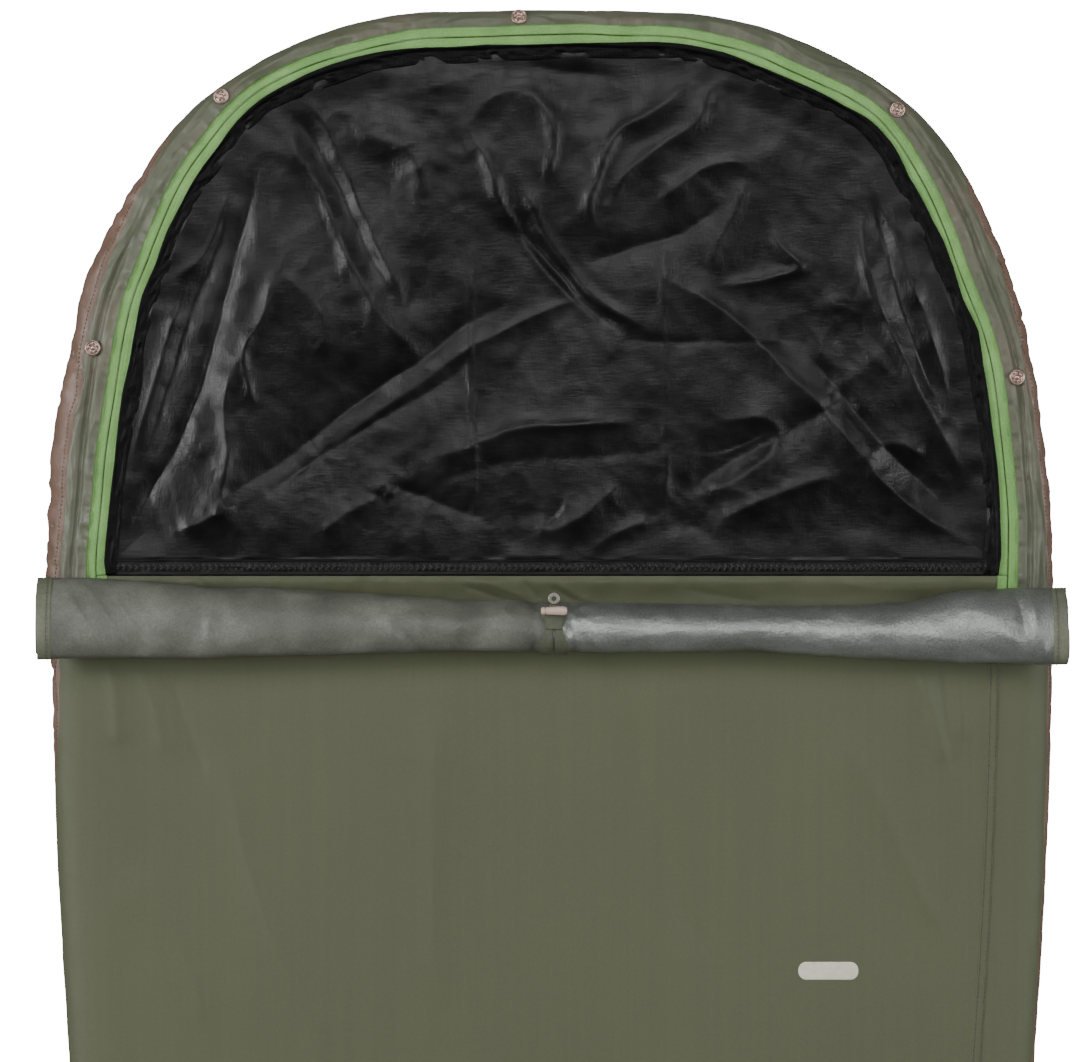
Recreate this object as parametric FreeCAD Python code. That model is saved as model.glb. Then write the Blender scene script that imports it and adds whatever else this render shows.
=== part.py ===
import FreeCAD, Part
import math
import os

from FreeCAD import Vector

# Bivy sack lying flat and empty, seen with its head end towards +Y.
# Origin: middle of the plan outline, on the ground. Z is up. Millimetres.
# A plan contour is a list of arcs (centre x, centre y, radius, first normal, last normal).
# Each arc meets the next one tangentially, so every arc of an offset contour only changes
# its radius, and straight stretches fill the gaps between arcs.

# ---- bag ----
LENGTH = 2300.0
SHOULDER_HALF_WIDTH = 442.4
SHOULDER_Y = 649.0
SIDE_RADIUS = 5600.0
SIDE_TAPER_DEG = 4.05
FOOT_CORNER_RADIUS = 150.0
HEAD_LEG_RADIUS = 997.0
HEAD_LEG_END_DEG = 14.8
HEAD_SHOULDER_RADIUS = 328.6
HEAD_SHOULDER_END_DEG = 88.3
FABRIC = 2.0
LID_Z = 36.0
FLOOR_EDGE_RADIUS = 12.0
LID_EDGE_RADIUS = 4.0
SEAM_TAPE_INSET = 2.5
SEAM_TAPE_WIDTH = 12.0
SEAM_TAPE_THICKNESS = 0.8
EDGE_GAP = 0.5

# ---- side gusset seam, right side only ----
GUSSET_SEAM_INSET = 53.0
GUSSET_SEAM_WIDTH = 8.0
GUSSET_SEAM_RISE = 1.0
GUSSET_SEAM_TOP_Y = 598.0

# ---- arched zip round the head opening ----
ZIP_HALF_WIDTH = 401.5
ZIP_WIDEST_Y = 672.0
ZIP_LEG_RADIUS = 744.0
ZIP_LEG_START_DEG = -5.6
ZIP_LEG_END_DEG = 24.3
ZIP_SHOULDER_RADIUS = 240.0
ZIP_SHOULDER_END_DEG = 82.5
ZIP_BAND_HALF = 9.5
ZIP_CENTRE_GAP = 0.9
TAPE_THICKNESS = 1.2
TAPE_LOW = LID_Z - FABRIC
TAPE_HIGH = TAPE_LOW + TAPE_THICKNESS
COIL_WIDTH = 2.5
COIL_HEIGHT = 2.2
ZIP_STOP_LENGTH = 4.0

# ---- net door ----
HINGE_Y = 650.0
DOOR_GAP = 0.5
HEM_BINDING = 14.0
ARCH_BINDING = 12.0
BINDING_THICKNESS = 1.6
NET_THICKNESS = 1.0

# ---- rolled storm flap ----
ROLL_Y = 610.0
ROLL_CENTRE_Z = 65.0
ROLL_FLAT_HALF = 10.0
ROLL_OUTER_RADIUS = 22.0
ROLL_PITCH = 5.0
ROLL_TURNS = 4
FACING_TURNS = 2
ROLL_HALF_LENGTH = 438.0
FACING_WIDTH = 15.0

# ---- press studs on the hood rim and their sockets on the flap ----
SNAP_RADIUS = 7.0
SNAP_PLACES = [(-29.0, 1142.0), (-291.0, 1072.0), (303.8, 1060.4), (-404.0, 851.0), (409.0, 825.0)]
SNAP_BASE_HEIGHT = 1.4
SNAP_RIM_HEIGHT = 2.6
SNAP_RIM_WIDTH = 1.6
SNAP_POST_RADIUS = 2.2
SNAP_WINDOWS = 6
SNAP_WINDOW_RADIUS = 0.9
SNAP_WINDOW_CIRCLE = 3.8
SNAP_WINDOW_DEPTH = 0.8
SNAP_FIRST_WINDOW_DEG = 15.0
BACKING_OUTER_RADIUS = 4.6
BACKING_INNER_RADIUS = 2.6
BACKING_HEIGHT = 1.0
SOCKET_HEIGHT = 2.6
SOCKET_HOLE_RADIUS = 2.4
HEAD_SOCKETS_X = [-299.0, -29.0, 299.0]
SIDE_SOCKETS_X = [-404.0, 404.0]

# ---- tie that holds the rolled flap ----
TIE_X = 1.5
TIE_CLEARANCE = 0.5
STRAP_THICKNESS = 1.6
TIE_PIVOT_DEG = 235.0
STRAP_HALF_WIDTH = 12.2
STRAP_SLOT_HALF = 1.1
STRAP_WAIST_HALF = 7.2
STRAP_WAIST_Y = 606.0
TAB_WIDE_Y = 617.0
TAB_END_Y = 622.0
TAB_HALF_WIDTH = 11.0
TAB_TONGUE_HALF = 3.0
FOLD_GAP_DEG = 3.0
ANCHOR_FOOT = 6.0
TOGGLE_LENGTH = 22.6
TOGGLE_RADIUS = 4.0
TOGGLE_SLIM_RADIUS = 3.3
TOGGLE_TIP = 1.2
TOGGLE_HEAD = 3.2
TOGGLE_GROOVE = 0.8
TOGGLE_BLUNT_TIP = 2.5
TOGGLE_NECK_FOOT = 0.4
TOGGLE_Y = 620.5
TOGGLE_NECK_RADIUS = 1.5
TOGGLE_NECK_CLEARANCE = 0.2
EYE_Y = 631.0
EYE_OUTER_RADIUS = 5.0
EYE_HOLE_RADIUS = 2.2
EYE_ROUNDING = 0.6

# ---- zip sliders ----
SLIDER_PARK_DEG = -4.6
SLIDER_LENGTH = 13.0
SLIDER_WIDTH = 9.0
SLIDER_PLATE = 1.4
SLIDER_CLEARANCE = 0.4
SLIDER_CORNER = 2.4
SLIDER_POST_HALF = 0.5
SLIDER_POST_BACK = -2.5
SLIDER_POST_FRONT = 4.5
BRIDGE_LENGTH = 7.0
BRIDGE_WIDTH = 2.6
BRIDGE_RISE = 2.4
BRIDGE_LEG = 1.3
BRIDGE_ROOF = 0.7
BRIDGE_ROUNDING = 0.6
PULL_LENGTH = 22.0
PULL_WIDTH = 7.0
PULL_THICKNESS = 1.0
PULL_PIN_Y = 0.7
PULL_PIN_RISE = 0.85
PULL_CORNER = 1.1
PULL_EYE_SIDE_GAP = 0.4
PULL_EYE_BACK = 4.3
PULL_GRIP_BORDER = 1.8
PULL_GRIP_START = 9.0
PULL_GRIP_END_BORDER = 3.0

# ---- generic reflective patch ----
PATCH_X = 243.0
PATCH_Y = 303.0
PATCH_LENGTH = 54.0
PATCH_WIDTH = 16.0
PATCH_THICKNESS = 0.6
PATCH_CORNER = 7.5

FAR = 2000.0


def save(name, shape):
    """Write one node, refined and checked, as a STEP file."""
    if shape.ShapeType == "Compound" and len(shape.Solids) == 1:
        shape = shape.Solids[0]
    if not shape.isValid():
        raise ValueError(name + " is not a valid solid")
    shape.exportStep("parts/" + name + ".step")
    box = shape.BoundBox
    print("%-24s %2d solid(s)  volume %9.0f mm3  box %6.0f x %6.0f x %5.1f" % (
        name, len(shape.Solids), shape.Volume, box.XLength, box.YLength, box.ZLength))


# ---------------------------------------------------------------- plan contours

def on_arc(arc, offset, normal_deg, z):
    """Point of an arc, pushed outwards by offset, where its normal has the given angle."""
    angle = math.radians(normal_deg)
    reach = arc[2] + offset
    return Vector(arc[0] + reach * math.cos(angle), arc[1] + reach * math.sin(angle), z)


def inner_arc(arc, radius, last_normal):
    """The arc of another radius that carries on tangentially from the end of an arc."""
    angle = math.radians(arc[4])
    shift = arc[2] - radius
    centre_x = arc[0] + shift * math.cos(angle)
    centre_y = arc[1] + shift * math.sin(angle)
    return (centre_x, centre_y, radius, arc[4], last_normal)


def crown_arc(arc):
    """The arc that carries on from the end of an arc and is level on the centre line."""
    return inner_arc(arc, arc[2] + arc[0] / math.cos(math.radians(arc[4])), 90.0)


def both_sides(right_arcs):
    """The right half of a contour followed by its mirror image."""
    left = []
    for x, y, radius, first, last in reversed(right_arcs):
        left.append((-x, y, radius, 180.0 - last, 180.0 - first))
    return right_arcs + left


def bag_contour():
    """Tapered sides, a round head and a foot with rounded corners."""
    side = (SHOULDER_HALF_WIDTH - SIDE_RADIUS, SHOULDER_Y, SIDE_RADIUS, -SIDE_TAPER_DEG, 0.0)
    leg = inner_arc((side[0], side[1], side[2], 0.0, 0.0), HEAD_LEG_RADIUS, HEAD_LEG_END_DEG)
    shoulder = inner_arc(leg, HEAD_SHOULDER_RADIUS, HEAD_SHOULDER_END_DEG)
    taper = math.radians(-SIDE_TAPER_DEG)
    side_foot = on_arc(side, 0.0, -SIDE_TAPER_DEG, 0.0)
    corner_y = -LENGTH / 2.0 + FOOT_CORNER_RADIUS
    reach = side_foot.x * math.cos(taper) + side_foot.y * math.sin(taper) - FOOT_CORNER_RADIUS
    corner_x = (reach - corner_y * math.sin(taper)) / math.cos(taper)
    corner = (corner_x, corner_y, FOOT_CORNER_RADIUS, -90.0, -SIDE_TAPER_DEG)
    return both_sides([corner, side, leg, shoulder, crown_arc(shoulder)])


def zip_contour():
    """Middle line of the zip, from its right end over the head to its left end."""
    leg_x = ZIP_HALF_WIDTH - ZIP_LEG_RADIUS
    leg = (leg_x, ZIP_WIDEST_Y, ZIP_LEG_RADIUS, ZIP_LEG_START_DEG, ZIP_LEG_END_DEG)
    shoulder = inner_arc(leg, ZIP_SHOULDER_RADIUS, ZIP_SHOULDER_END_DEG)
    return both_sides([leg, shoulder, crown_arc(shoulder)])


def contour_edges(arcs, offset, z):
    """Edges along a contour, with straight edges wherever two arcs don't meet."""
    edges = []
    last_point = None
    for arc in arcs:
        first, last = arc[3], arc[4]
        start = on_arc(arc, offset, first, z)
        end = on_arc(arc, offset, last, z)
        if last_point is not None and last_point.distanceToPoint(start) > 1e-6:
            edges.append(Part.makeLine(last_point, start))
        middle = on_arc(arc, offset, (first + last) / 2.0, z)
        edges.append(Part.Arc(start, middle, end).toShape())
        last_point = end
    return edges


def extrude_edges(edges, height):
    """Closed prism over a ring of edges given in order."""
    face = Part.Face(Part.Wire(Part.__sortEdges__(edges)))
    return face.extrude(Vector(0, 0, height))


def region(arcs, offset, low, high):
    """Prism over the area inside a contour, closed by one straight edge."""
    edges = contour_edges(arcs, offset, low)
    first = on_arc(arcs[0], offset, arcs[0][3], low)
    last = on_arc(arcs[-1], offset, arcs[-1][4], low)
    edges.append(Part.makeLine(last, first))
    return extrude_edges(edges, high - low)


def band(arcs, inner, outer, low, high):
    """Prism over the strip between two offsets of an open contour."""
    edges = contour_edges(arcs, outer, low) + contour_edges(arcs, inner, low)
    for arc, normal in ((arcs[0], arcs[0][3]), (arcs[-1], arcs[-1][4])):
        edges.append(Part.makeLine(on_arc(arc, inner, normal, low), on_arc(arc, outer, normal, low)))
    return extrude_edges(edges, high - low)


def polygon(points, low, high):
    """Prism over a plan polygon."""
    corners = [Vector(x, y, low) for x, y in points]
    return Part.Face(Part.makePolygon(corners + [corners[0]])).extrude(Vector(0, 0, high - low))


def block(x_range, y_range, z_range):
    """Box between the given limits."""
    return Part.makeBox(x_range[1] - x_range[0], y_range[1] - y_range[0], z_range[1] - z_range[0],
                        Vector(x_range[0], y_range[0], z_range[0]))


def north_of(y):
    """Everything on the head side of a line across the bag."""
    return block((-FAR, FAR), (y, FAR), (-FAR, FAR))


def level_edges(solid, z):
    """Edges of a solid that lie in one horizontal plane."""
    return [edge for edge in solid.Edges
            if abs(edge.BoundBox.ZMin - z) < 1e-6 and abs(edge.BoundBox.ZMax - z) < 1e-6]


def mirrored(shape):
    """The same shape on the other side of the centre plane."""
    return shape.mirror(Vector(0, 0, 0), Vector(1, 0, 0))


BAG = bag_contour()
ZIP = zip_contour()


# ---------------------------------------------------------------- bag body

def make_envelope():
    """Whole bag as one filled shape, with a rounded edge under it and a tighter one on top."""
    outer = region(BAG, 0.0, 0.0, LID_Z)
    outer = outer.makeFillet(FLOOR_EDGE_RADIUS, level_edges(outer, 0.0))
    return outer.makeFillet(LID_EDGE_RADIUS, level_edges(outer, LID_Z))


def make_hollow():
    """Space inside the bag."""
    hollow = region(BAG, -FABRIC, FABRIC, LID_Z - FABRIC)
    return hollow.makeFillet(FLOOR_EDGE_RADIUS - FABRIC, level_edges(hollow, FABRIC))


def layer(low, high):
    """Everything between two heights."""
    return block((-FAR, FAR), (-FAR, FAR), (low, high))


def make_tub():
    """Tub floor: the flat sheet on the ground and the side that turns up from it to the lid."""
    envelope = make_envelope()
    sheet = envelope.common(layer(0.0, FABRIC))
    side = envelope.common(layer(FABRIC, LID_Z - FABRIC)).cut(make_hollow())
    return sheet, side


def make_seam_tape():
    """Waterproofing tape welded inside, under the seam between the lid and the tub's side."""
    low = LID_Z - FABRIC - SEAM_TAPE_THICKNESS
    high = LID_Z - FABRIC
    tape = region(BAG, -SEAM_TAPE_INSET, low, high)
    tape = tape.cut(region(BAG, -SEAM_TAPE_INSET - SEAM_TAPE_WIDTH, low, high))
    for x, y in SNAP_PLACES:
        hole = Part.makeCylinder(BACKING_OUTER_RADIUS + EDGE_GAP, FABRIC, Vector(x, y, low))
        tape = tape.cut(hole)
    return tape


def gusset_line(inset):
    """The seam line beside the right edge: where it starts, its bend and its far end."""
    side = BAG[1]
    rise = GUSSET_SEAM_TOP_Y - side[1]
    start_deg = math.degrees(math.asin(rise / (side[2] - inset)))
    start = on_arc(side, -inset, start_deg, 0.0)
    middle = on_arc(side, -inset, (start_deg + side[3]) / 2.0, 0.0)
    bend = on_arc(side, -inset, side[3], 0.0)
    drop = LENGTH / 2.0 + FABRIC + bend.y
    end = Vector(bend.x - drop * math.tan(math.radians(SIDE_TAPER_DEG)), bend.y - drop, 0.0)
    return start, middle, bend, end


def gusset_edges(inset):
    """Arc and straight run of the seam line."""
    start, middle, bend, end = gusset_line(inset)
    return [Part.Arc(start, middle, bend).toShape(), Part.makeLine(bend, end)], start, end


def make_seam_band(low, high):
    """Strip along the gusset seam, down to the rounded edge at the foot."""
    half = GUSSET_SEAM_WIDTH / 2.0
    outer, outer_start, outer_end = gusset_edges(GUSSET_SEAM_INSET - half)
    inner, inner_start, inner_end = gusset_edges(GUSSET_SEAM_INSET + half)
    edges = outer + inner + [Part.makeLine(outer_start, inner_start), Part.makeLine(outer_end, inner_end)]
    strip = extrude_edges(edges, high - low)
    strip.translate(Vector(0, 0, low))
    return strip.common(region(BAG, -LID_EDGE_RADIUS - EDGE_GAP, low, high))


def make_gusset_zone():
    """Everything on the right of the gusset seam and, above the seam, of the zip."""
    edges, start, end = gusset_edges(GUSSET_SEAM_INSET)
    corners = [start, Vector(ZIP_HALF_WIDTH, start.y, 0), Vector(ZIP_HALF_WIDTH, HINGE_Y, 0),
               Vector(FAR, HINGE_Y, 0), Vector(FAR, end.y, 0), end]
    edges += [Part.makeLine(first, second) for first, second in zip(corners, corners[1:])]
    return extrude_edges(edges, LID_Z + FABRIC)


def make_upper_panels():
    """Hood rim, main top panel, side gusset and the felled seam strip between them."""
    low = LID_Z - FABRIC
    lid = make_envelope().common(layer(low, LID_Z))
    rim = lid.common(north_of(HINGE_Y - DOOR_GAP)).cut(region(ZIP, ZIP_BAND_HALF, low, LID_Z))
    main = lid.cut(north_of(HINGE_Y - DOOR_GAP))
    main = main.cut(band(ZIP, -ZIP_BAND_HALF, ZIP_BAND_HALF, low, LID_Z))
    zone = make_gusset_zone()
    seam_cut = make_seam_band(low, LID_Z)
    top_panel = main.cut(zone).cut(seam_cut)
    gusset = main.common(zone).cut(seam_cut)
    seam = make_seam_band(low, LID_Z + GUSSET_SEAM_RISE)
    return rim, top_panel, gusset, seam


def make_patch():
    """Plain rounded reflective patch."""
    patch = block((PATCH_X - PATCH_LENGTH / 2.0, PATCH_X + PATCH_LENGTH / 2.0),
                  (PATCH_Y - PATCH_WIDTH / 2.0, PATCH_Y + PATCH_WIDTH / 2.0),
                  (LID_Z, LID_Z + PATCH_THICKNESS))
    corners = [edge for edge in patch.Edges if edge.BoundBox.ZLength > PATCH_THICKNESS / 2.0]
    return patch.makeFillet(PATCH_CORNER, corners)


# ---------------------------------------------------------------- press studs

def make_stud(x, y, base_z):
    """One press stud: a dished ring with windows round a small centre post."""
    base = Part.makeCylinder(SNAP_RADIUS, SNAP_BASE_HEIGHT, Vector(x, y, base_z))
    rim_z = base_z + SNAP_BASE_HEIGHT
    rise = SNAP_RIM_HEIGHT - SNAP_BASE_HEIGHT
    rim = Part.makeCylinder(SNAP_RADIUS, rise, Vector(x, y, rim_z))
    rim = rim.cut(Part.makeCylinder(SNAP_RADIUS - SNAP_RIM_WIDTH, rise, Vector(x, y, rim_z)))
    post = Part.makeCylinder(SNAP_POST_RADIUS, rise, Vector(x, y, rim_z))
    stud = base.fuse([rim, post])
    for number in range(SNAP_WINDOWS):
        angle = math.radians(360.0 / SNAP_WINDOWS * number + SNAP_FIRST_WINDOW_DEG)
        window_x = x + SNAP_WINDOW_CIRCLE * math.cos(angle)
        window_y = y + SNAP_WINDOW_CIRCLE * math.sin(angle)
        place = Vector(window_x, window_y, rim_z - SNAP_WINDOW_DEPTH)
        stud = stud.cut(Part.makeCylinder(SNAP_WINDOW_RADIUS, SNAP_WINDOW_DEPTH, place))
    return stud.removeSplitter()


def make_studs():
    """Five studs standing on the hood rim."""
    return Part.makeCompound([make_stud(x, y, LID_Z) for x, y in SNAP_PLACES])


def make_stud_backings():
    """Prong rings behind the studs, under the rim fabric."""
    rings = []
    for x, y in SNAP_PLACES:
        place = Vector(x, y, LID_Z - FABRIC - BACKING_HEIGHT)
        ring = Part.makeCylinder(BACKING_OUTER_RADIUS, BACKING_HEIGHT, place)
        rings.append(ring.cut(Part.makeCylinder(BACKING_INNER_RADIUS, BACKING_HEIGHT, place)))
    return Part.makeCompound(rings)


# ---------------------------------------------------------------- zip

def make_outer_zip():
    """Tape and coil half sewn to the rim, running down to both ends of the zip."""
    tape = band(ZIP, ZIP_CENTRE_GAP, ZIP_BAND_HALF, TAPE_LOW, TAPE_HIGH)
    coil = band(ZIP, ZIP_CENTRE_GAP, ZIP_CENTRE_GAP + COIL_WIDTH, TAPE_LOW - COIL_HEIGHT, TAPE_LOW)
    return tape, coil.cut(make_zip_stops())


def make_inner_zip():
    """The other tape and coil half: the door's part, and the two sewn-down tails below it."""
    tape = band(ZIP, -ZIP_BAND_HALF, -ZIP_CENTRE_GAP, TAPE_LOW, TAPE_HIGH)
    coil = band(ZIP, -ZIP_CENTRE_GAP - COIL_WIDTH, -ZIP_CENTRE_GAP, TAPE_LOW - COIL_HEIGHT, TAPE_LOW)
    door_side = north_of(HINGE_Y + DOOR_GAP)
    tail_side = north_of(HINGE_Y - DOOR_GAP)
    tails = tape.fuse(coil).cut(tail_side).cut(make_zip_stops())
    return tape.common(door_side), coil.common(door_side), tails


def zip_frame(shape, normal_deg):
    """Carry a shape from the origin to the right leg of the zip, its +Y along the zip."""
    leg = ZIP[0]
    place = on_arc(leg, 0.0, normal_deg, 0.0)
    moved = shape.copy()
    moved.rotate(Vector(0, 0, 0), Vector(0, 0, 1), normal_deg)
    moved.translate(place)
    return moved


def make_zip_stops():
    """Stop bars that join both coil halves at the two ends."""
    half = ZIP_CENTRE_GAP + COIL_WIDTH
    bar = block((-half, half), (0.0, ZIP_STOP_LENGTH), (TAPE_LOW - COIL_HEIGHT, TAPE_LOW))
    right = zip_frame(bar, ZIP_LEG_START_DEG)
    return Part.makeCompound([right, mirrored(right)])


def upright_edges(solid, height):
    """Vertical edges of a plate of the given thickness."""
    return [edge for edge in solid.Edges if edge.BoundBox.ZLength > height / 2.0]


def make_slider():
    """Slider: a plate over the tapes and one under the coils, joined by a thin post, and a bridge."""
    half_length = SLIDER_LENGTH / 2.0
    half_width = SLIDER_WIDTH / 2.0
    top_low = TAPE_HIGH + SLIDER_CLEARANCE
    top_high = top_low + SLIDER_PLATE
    under_high = TAPE_LOW - COIL_HEIGHT - SLIDER_CLEARANCE
    under_low = under_high - SLIDER_PLATE
    plates = []
    for low, high in ((top_low, top_high), (under_low, under_high)):
        plate = block((-half_width, half_width), (-half_length, half_length), (low, high))
        plates.append(plate.makeFillet(SLIDER_CORNER, upright_edges(plate, SLIDER_PLATE)))
    post = block((-SLIDER_POST_HALF, SLIDER_POST_HALF), (SLIDER_POST_BACK, SLIDER_POST_FRONT),
                 (under_high, top_low))
    bridge_half = BRIDGE_LENGTH / 2.0
    window_half = bridge_half - BRIDGE_LEG
    bridge = block((-BRIDGE_WIDTH / 2.0, BRIDGE_WIDTH / 2.0), (-bridge_half, bridge_half),
                   (top_high, top_high + BRIDGE_RISE))
    window = block((-BRIDGE_WIDTH, BRIDGE_WIDTH), (-window_half, window_half),
                   (top_high, top_high + BRIDGE_RISE - BRIDGE_ROOF))
    crown = [edge for edge in level_edges(bridge, top_high + BRIDGE_RISE)
             if edge.BoundBox.XLength > BRIDGE_WIDTH / 2.0]
    bridge = bridge.makeFillet(BRIDGE_ROUNDING, crown).cut(window)
    return plates[0].fuse([plates[1], post, bridge]).removeSplitter()


def pull_pivot_z():
    """Height of the axis on which a pull tab lifts inside the slider's bridge."""
    return TAPE_HIGH + SLIDER_CLEARANCE + SLIDER_PLATE + PULL_PIN_RISE


def make_pull():
    """Pull tab lying back over the slider, with a round pin through the bridge."""
    low = pull_pivot_z() - PULL_THICKNESS / 2.0
    high = low + PULL_THICKNESS
    half_width = PULL_WIDTH / 2.0
    tab = block((-half_width, half_width), (-PULL_LENGTH, PULL_PIN_Y), (low, high))
    corners = [edge for edge in upright_edges(tab, PULL_THICKNESS)
               if edge.BoundBox.YMax < -PULL_LENGTH / 2.0]
    tab = tab.makeFillet(PULL_CORNER, corners)
    eye_half = BRIDGE_WIDTH / 2.0 + PULL_EYE_SIDE_GAP
    eye = block((-eye_half, eye_half), (-PULL_EYE_BACK, PULL_PIN_Y), (low, high))
    grip = block((-half_width + PULL_GRIP_BORDER, half_width - PULL_GRIP_BORDER),
                 (-PULL_LENGTH + PULL_GRIP_END_BORDER, -PULL_GRIP_START), (low, high))
    grip = grip.makeFillet(PULL_CORNER, upright_edges(grip, PULL_THICKNESS))
    pin = Part.makeCylinder(PULL_THICKNESS / 2.0, PULL_WIDTH,
                            Vector(-half_width, PULL_PIN_Y, pull_pivot_z()), Vector(1, 0, 0))
    return tab.cut(eye).cut(grip).fuse(pin).removeSplitter()


# ---------------------------------------------------------------- net door

def make_net_door():
    """Net panel, the binding along the zip and the binding along the hem."""
    high = TAPE_HIGH
    low = high - BINDING_THICKNESS
    hem_y = HINGE_Y + DOOR_GAP
    hem_top = hem_y + HEM_BINDING
    edge = -ZIP_BAND_HALF
    arch = band(ZIP, edge - ARCH_BINDING, edge, low, high).common(north_of(hem_top))
    hem = region(ZIP, edge, low, high).common(north_of(hem_y)).cut(north_of(hem_top))
    net_low = low + (BINDING_THICKNESS - NET_THICKNESS) / 2.0
    net = region(ZIP, edge - ARCH_BINDING, net_low, net_low + NET_THICKNESS).common(north_of(hem_top))
    return net, arch, hem


# ---------------------------------------------------------------- rolled storm flap

def roll_point(y, z):
    """Point of the roll's cross-section."""
    return Vector(0, y, z)


def spiral_edges(turns, shift):
    """Flattened spiral in the YZ plane, from its outer end inwards, moved inwards by shift.

    Each turn is a level run underneath, a half circle on the foot side, a level run on top
    and a half circle on the head side that ends one pitch higher than the turn began.
    """
    north_y = ROLL_Y + ROLL_FLAT_HALF
    south_y = ROLL_Y - ROLL_FLAT_HALF
    edges = []
    for turn in range(turns):
        radius = ROLL_OUTER_RADIUS - turn * ROLL_PITCH - shift
        bottom_z = ROLL_CENTRE_Z - radius
        top_z = ROLL_CENTRE_Z + radius
        rise_z = bottom_z + ROLL_PITCH
        north_radius = (top_z - rise_z) / 2.0
        start = roll_point(north_y, bottom_z)
        south_low = roll_point(south_y, bottom_z)
        south_side = roll_point(south_y - radius, ROLL_CENTRE_Z)
        south_high = roll_point(south_y, top_z)
        north_high = roll_point(north_y, top_z)
        north_side = roll_point(north_y + north_radius, rise_z + north_radius)
        end = roll_point(north_y, rise_z)
        edges.append(Part.makeLine(start, south_low))
        edges.append(Part.Arc(south_low, south_side, south_high).toShape())
        edges.append(Part.makeLine(south_high, north_high))
        edges.append(Part.Arc(north_high, north_side, end).toShape())
    return edges, roll_point(north_y, ROLL_CENTRE_Z - ROLL_OUTER_RADIUS + shift), end


def make_wound(turns, x_low, x_high):
    """Sheet wound into the flattened spiral, between two places along the roll."""
    outer, outer_start, outer_end = spiral_edges(turns, 0.0)
    inner, inner_start, inner_end = spiral_edges(turns, FABRIC)
    edges = outer + inner + [Part.makeLine(outer_start, inner_start), Part.makeLine(outer_end, inner_end)]
    face = Part.Face(Part.Wire(Part.__sortEdges__(edges)))
    face.translate(Vector(x_low, 0, 0))
    return face.extrude(Vector(x_high - x_low, 0, 0))


def make_sockets():
    """Five press-stud sockets on the flap edge, wound in between its turns."""
    sockets = []
    for places, layer in ((SIDE_SOCKETS_X, 2), (HEAD_SOCKETS_X, 3)):
        floor_z = ROLL_CENTRE_Z + ROLL_OUTER_RADIUS - layer * ROLL_PITCH
        for x in places:
            socket = Part.makeCylinder(SNAP_RADIUS, SOCKET_HEIGHT, Vector(x, ROLL_Y, floor_z))
            hole = Part.makeCylinder(SOCKET_HOLE_RADIUS, SOCKET_HEIGHT, Vector(x, ROLL_Y, floor_z))
            sockets.append(socket.cut(hole))
    return Part.makeCompound(sockets)


# ---------------------------------------------------------------- tie and toggle

def tie_ring(first_deg, last_deg, x_low, x_high):
    """Piece of the webbing that goes round the foot side of the roll."""
    centre_y = ROLL_Y - ROLL_FLAT_HALF
    inner = ROLL_OUTER_RADIUS + TIE_CLEARANCE
    outer = inner + STRAP_THICKNESS
    middle_deg = (first_deg + last_deg) / 2.0
    corners = []
    for radius in (inner, outer):
        for angle_deg in (first_deg, middle_deg, last_deg):
            angle = math.radians(angle_deg)
            corners.append(Vector(x_low, centre_y + radius * math.cos(angle),
                                  ROLL_CENTRE_Z + radius * math.sin(angle)))
    edges = [Part.Arc(corners[0], corners[1], corners[2]).toShape(),
             Part.Arc(corners[3], corners[4], corners[5]).toShape(),
             Part.makeLine(corners[0], corners[3]), Part.makeLine(corners[2], corners[5])]
    face = Part.Face(Part.Wire(Part.__sortEdges__(edges)))
    return face.extrude(Vector(x_high - x_low, 0, 0))


def strap_levels():
    """Lower and upper height of the webbing where it lies over the roll."""
    low = ROLL_CENTRE_Z + ROLL_OUTER_RADIUS + TIE_CLEARANCE
    return low, low + STRAP_THICKNESS


def make_tie_strap():
    """Two legs of webbing over the roll that run together into a folded tab."""
    low, high = strap_levels()
    centre_y = ROLL_Y - ROLL_FLAT_HALF
    outside = (TIE_X - STRAP_HALF_WIDTH, TIE_X + STRAP_HALF_WIDTH)
    arch = tie_ring(90.0, TIE_PIVOT_DEG - FOLD_GAP_DEG, outside[0], outside[1])
    arch = arch.cut(block((TIE_X - STRAP_SLOT_HALF, TIE_X + STRAP_SLOT_HALF), (0.0, FAR), (0.0, FAR)))
    legs = []
    for side in (-1.0, 1.0):
        legs.append(polygon([(TIE_X + side * STRAP_SLOT_HALF, centre_y),
                             (TIE_X + side * STRAP_HALF_WIDTH, centre_y),
                             (TIE_X + side * STRAP_WAIST_HALF, STRAP_WAIST_Y),
                             (TIE_X + side * STRAP_SLOT_HALF, STRAP_WAIST_Y)], low, high))
    right_half = [(STRAP_WAIST_HALF, STRAP_WAIST_Y), (TAB_HALF_WIDTH, TAB_WIDE_Y),
                  (TAB_HALF_WIDTH, TAB_END_Y), (TAB_TONGUE_HALF, TAB_END_Y), (TAB_TONGUE_HALF, EYE_Y)]
    outline = [(TIE_X - across, y) for across, y in right_half]
    outline += [(TIE_X + across, y) for across, y in reversed(right_half)]
    tab = polygon(outline, low, high)
    tab = tab.cut(Part.makeCylinder(EYE_OUTER_RADIUS, STRAP_THICKNESS, Vector(TIE_X, EYE_Y, low)))
    neck_hole = TOGGLE_NECK_RADIUS + TOGGLE_NECK_CLEARANCE
    tab = tab.cut(Part.makeCylinder(neck_hole, STRAP_THICKNESS, Vector(TIE_X, TOGGLE_Y, low)))
    return arch.fuse(legs + [tab]).removeSplitter()


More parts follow.
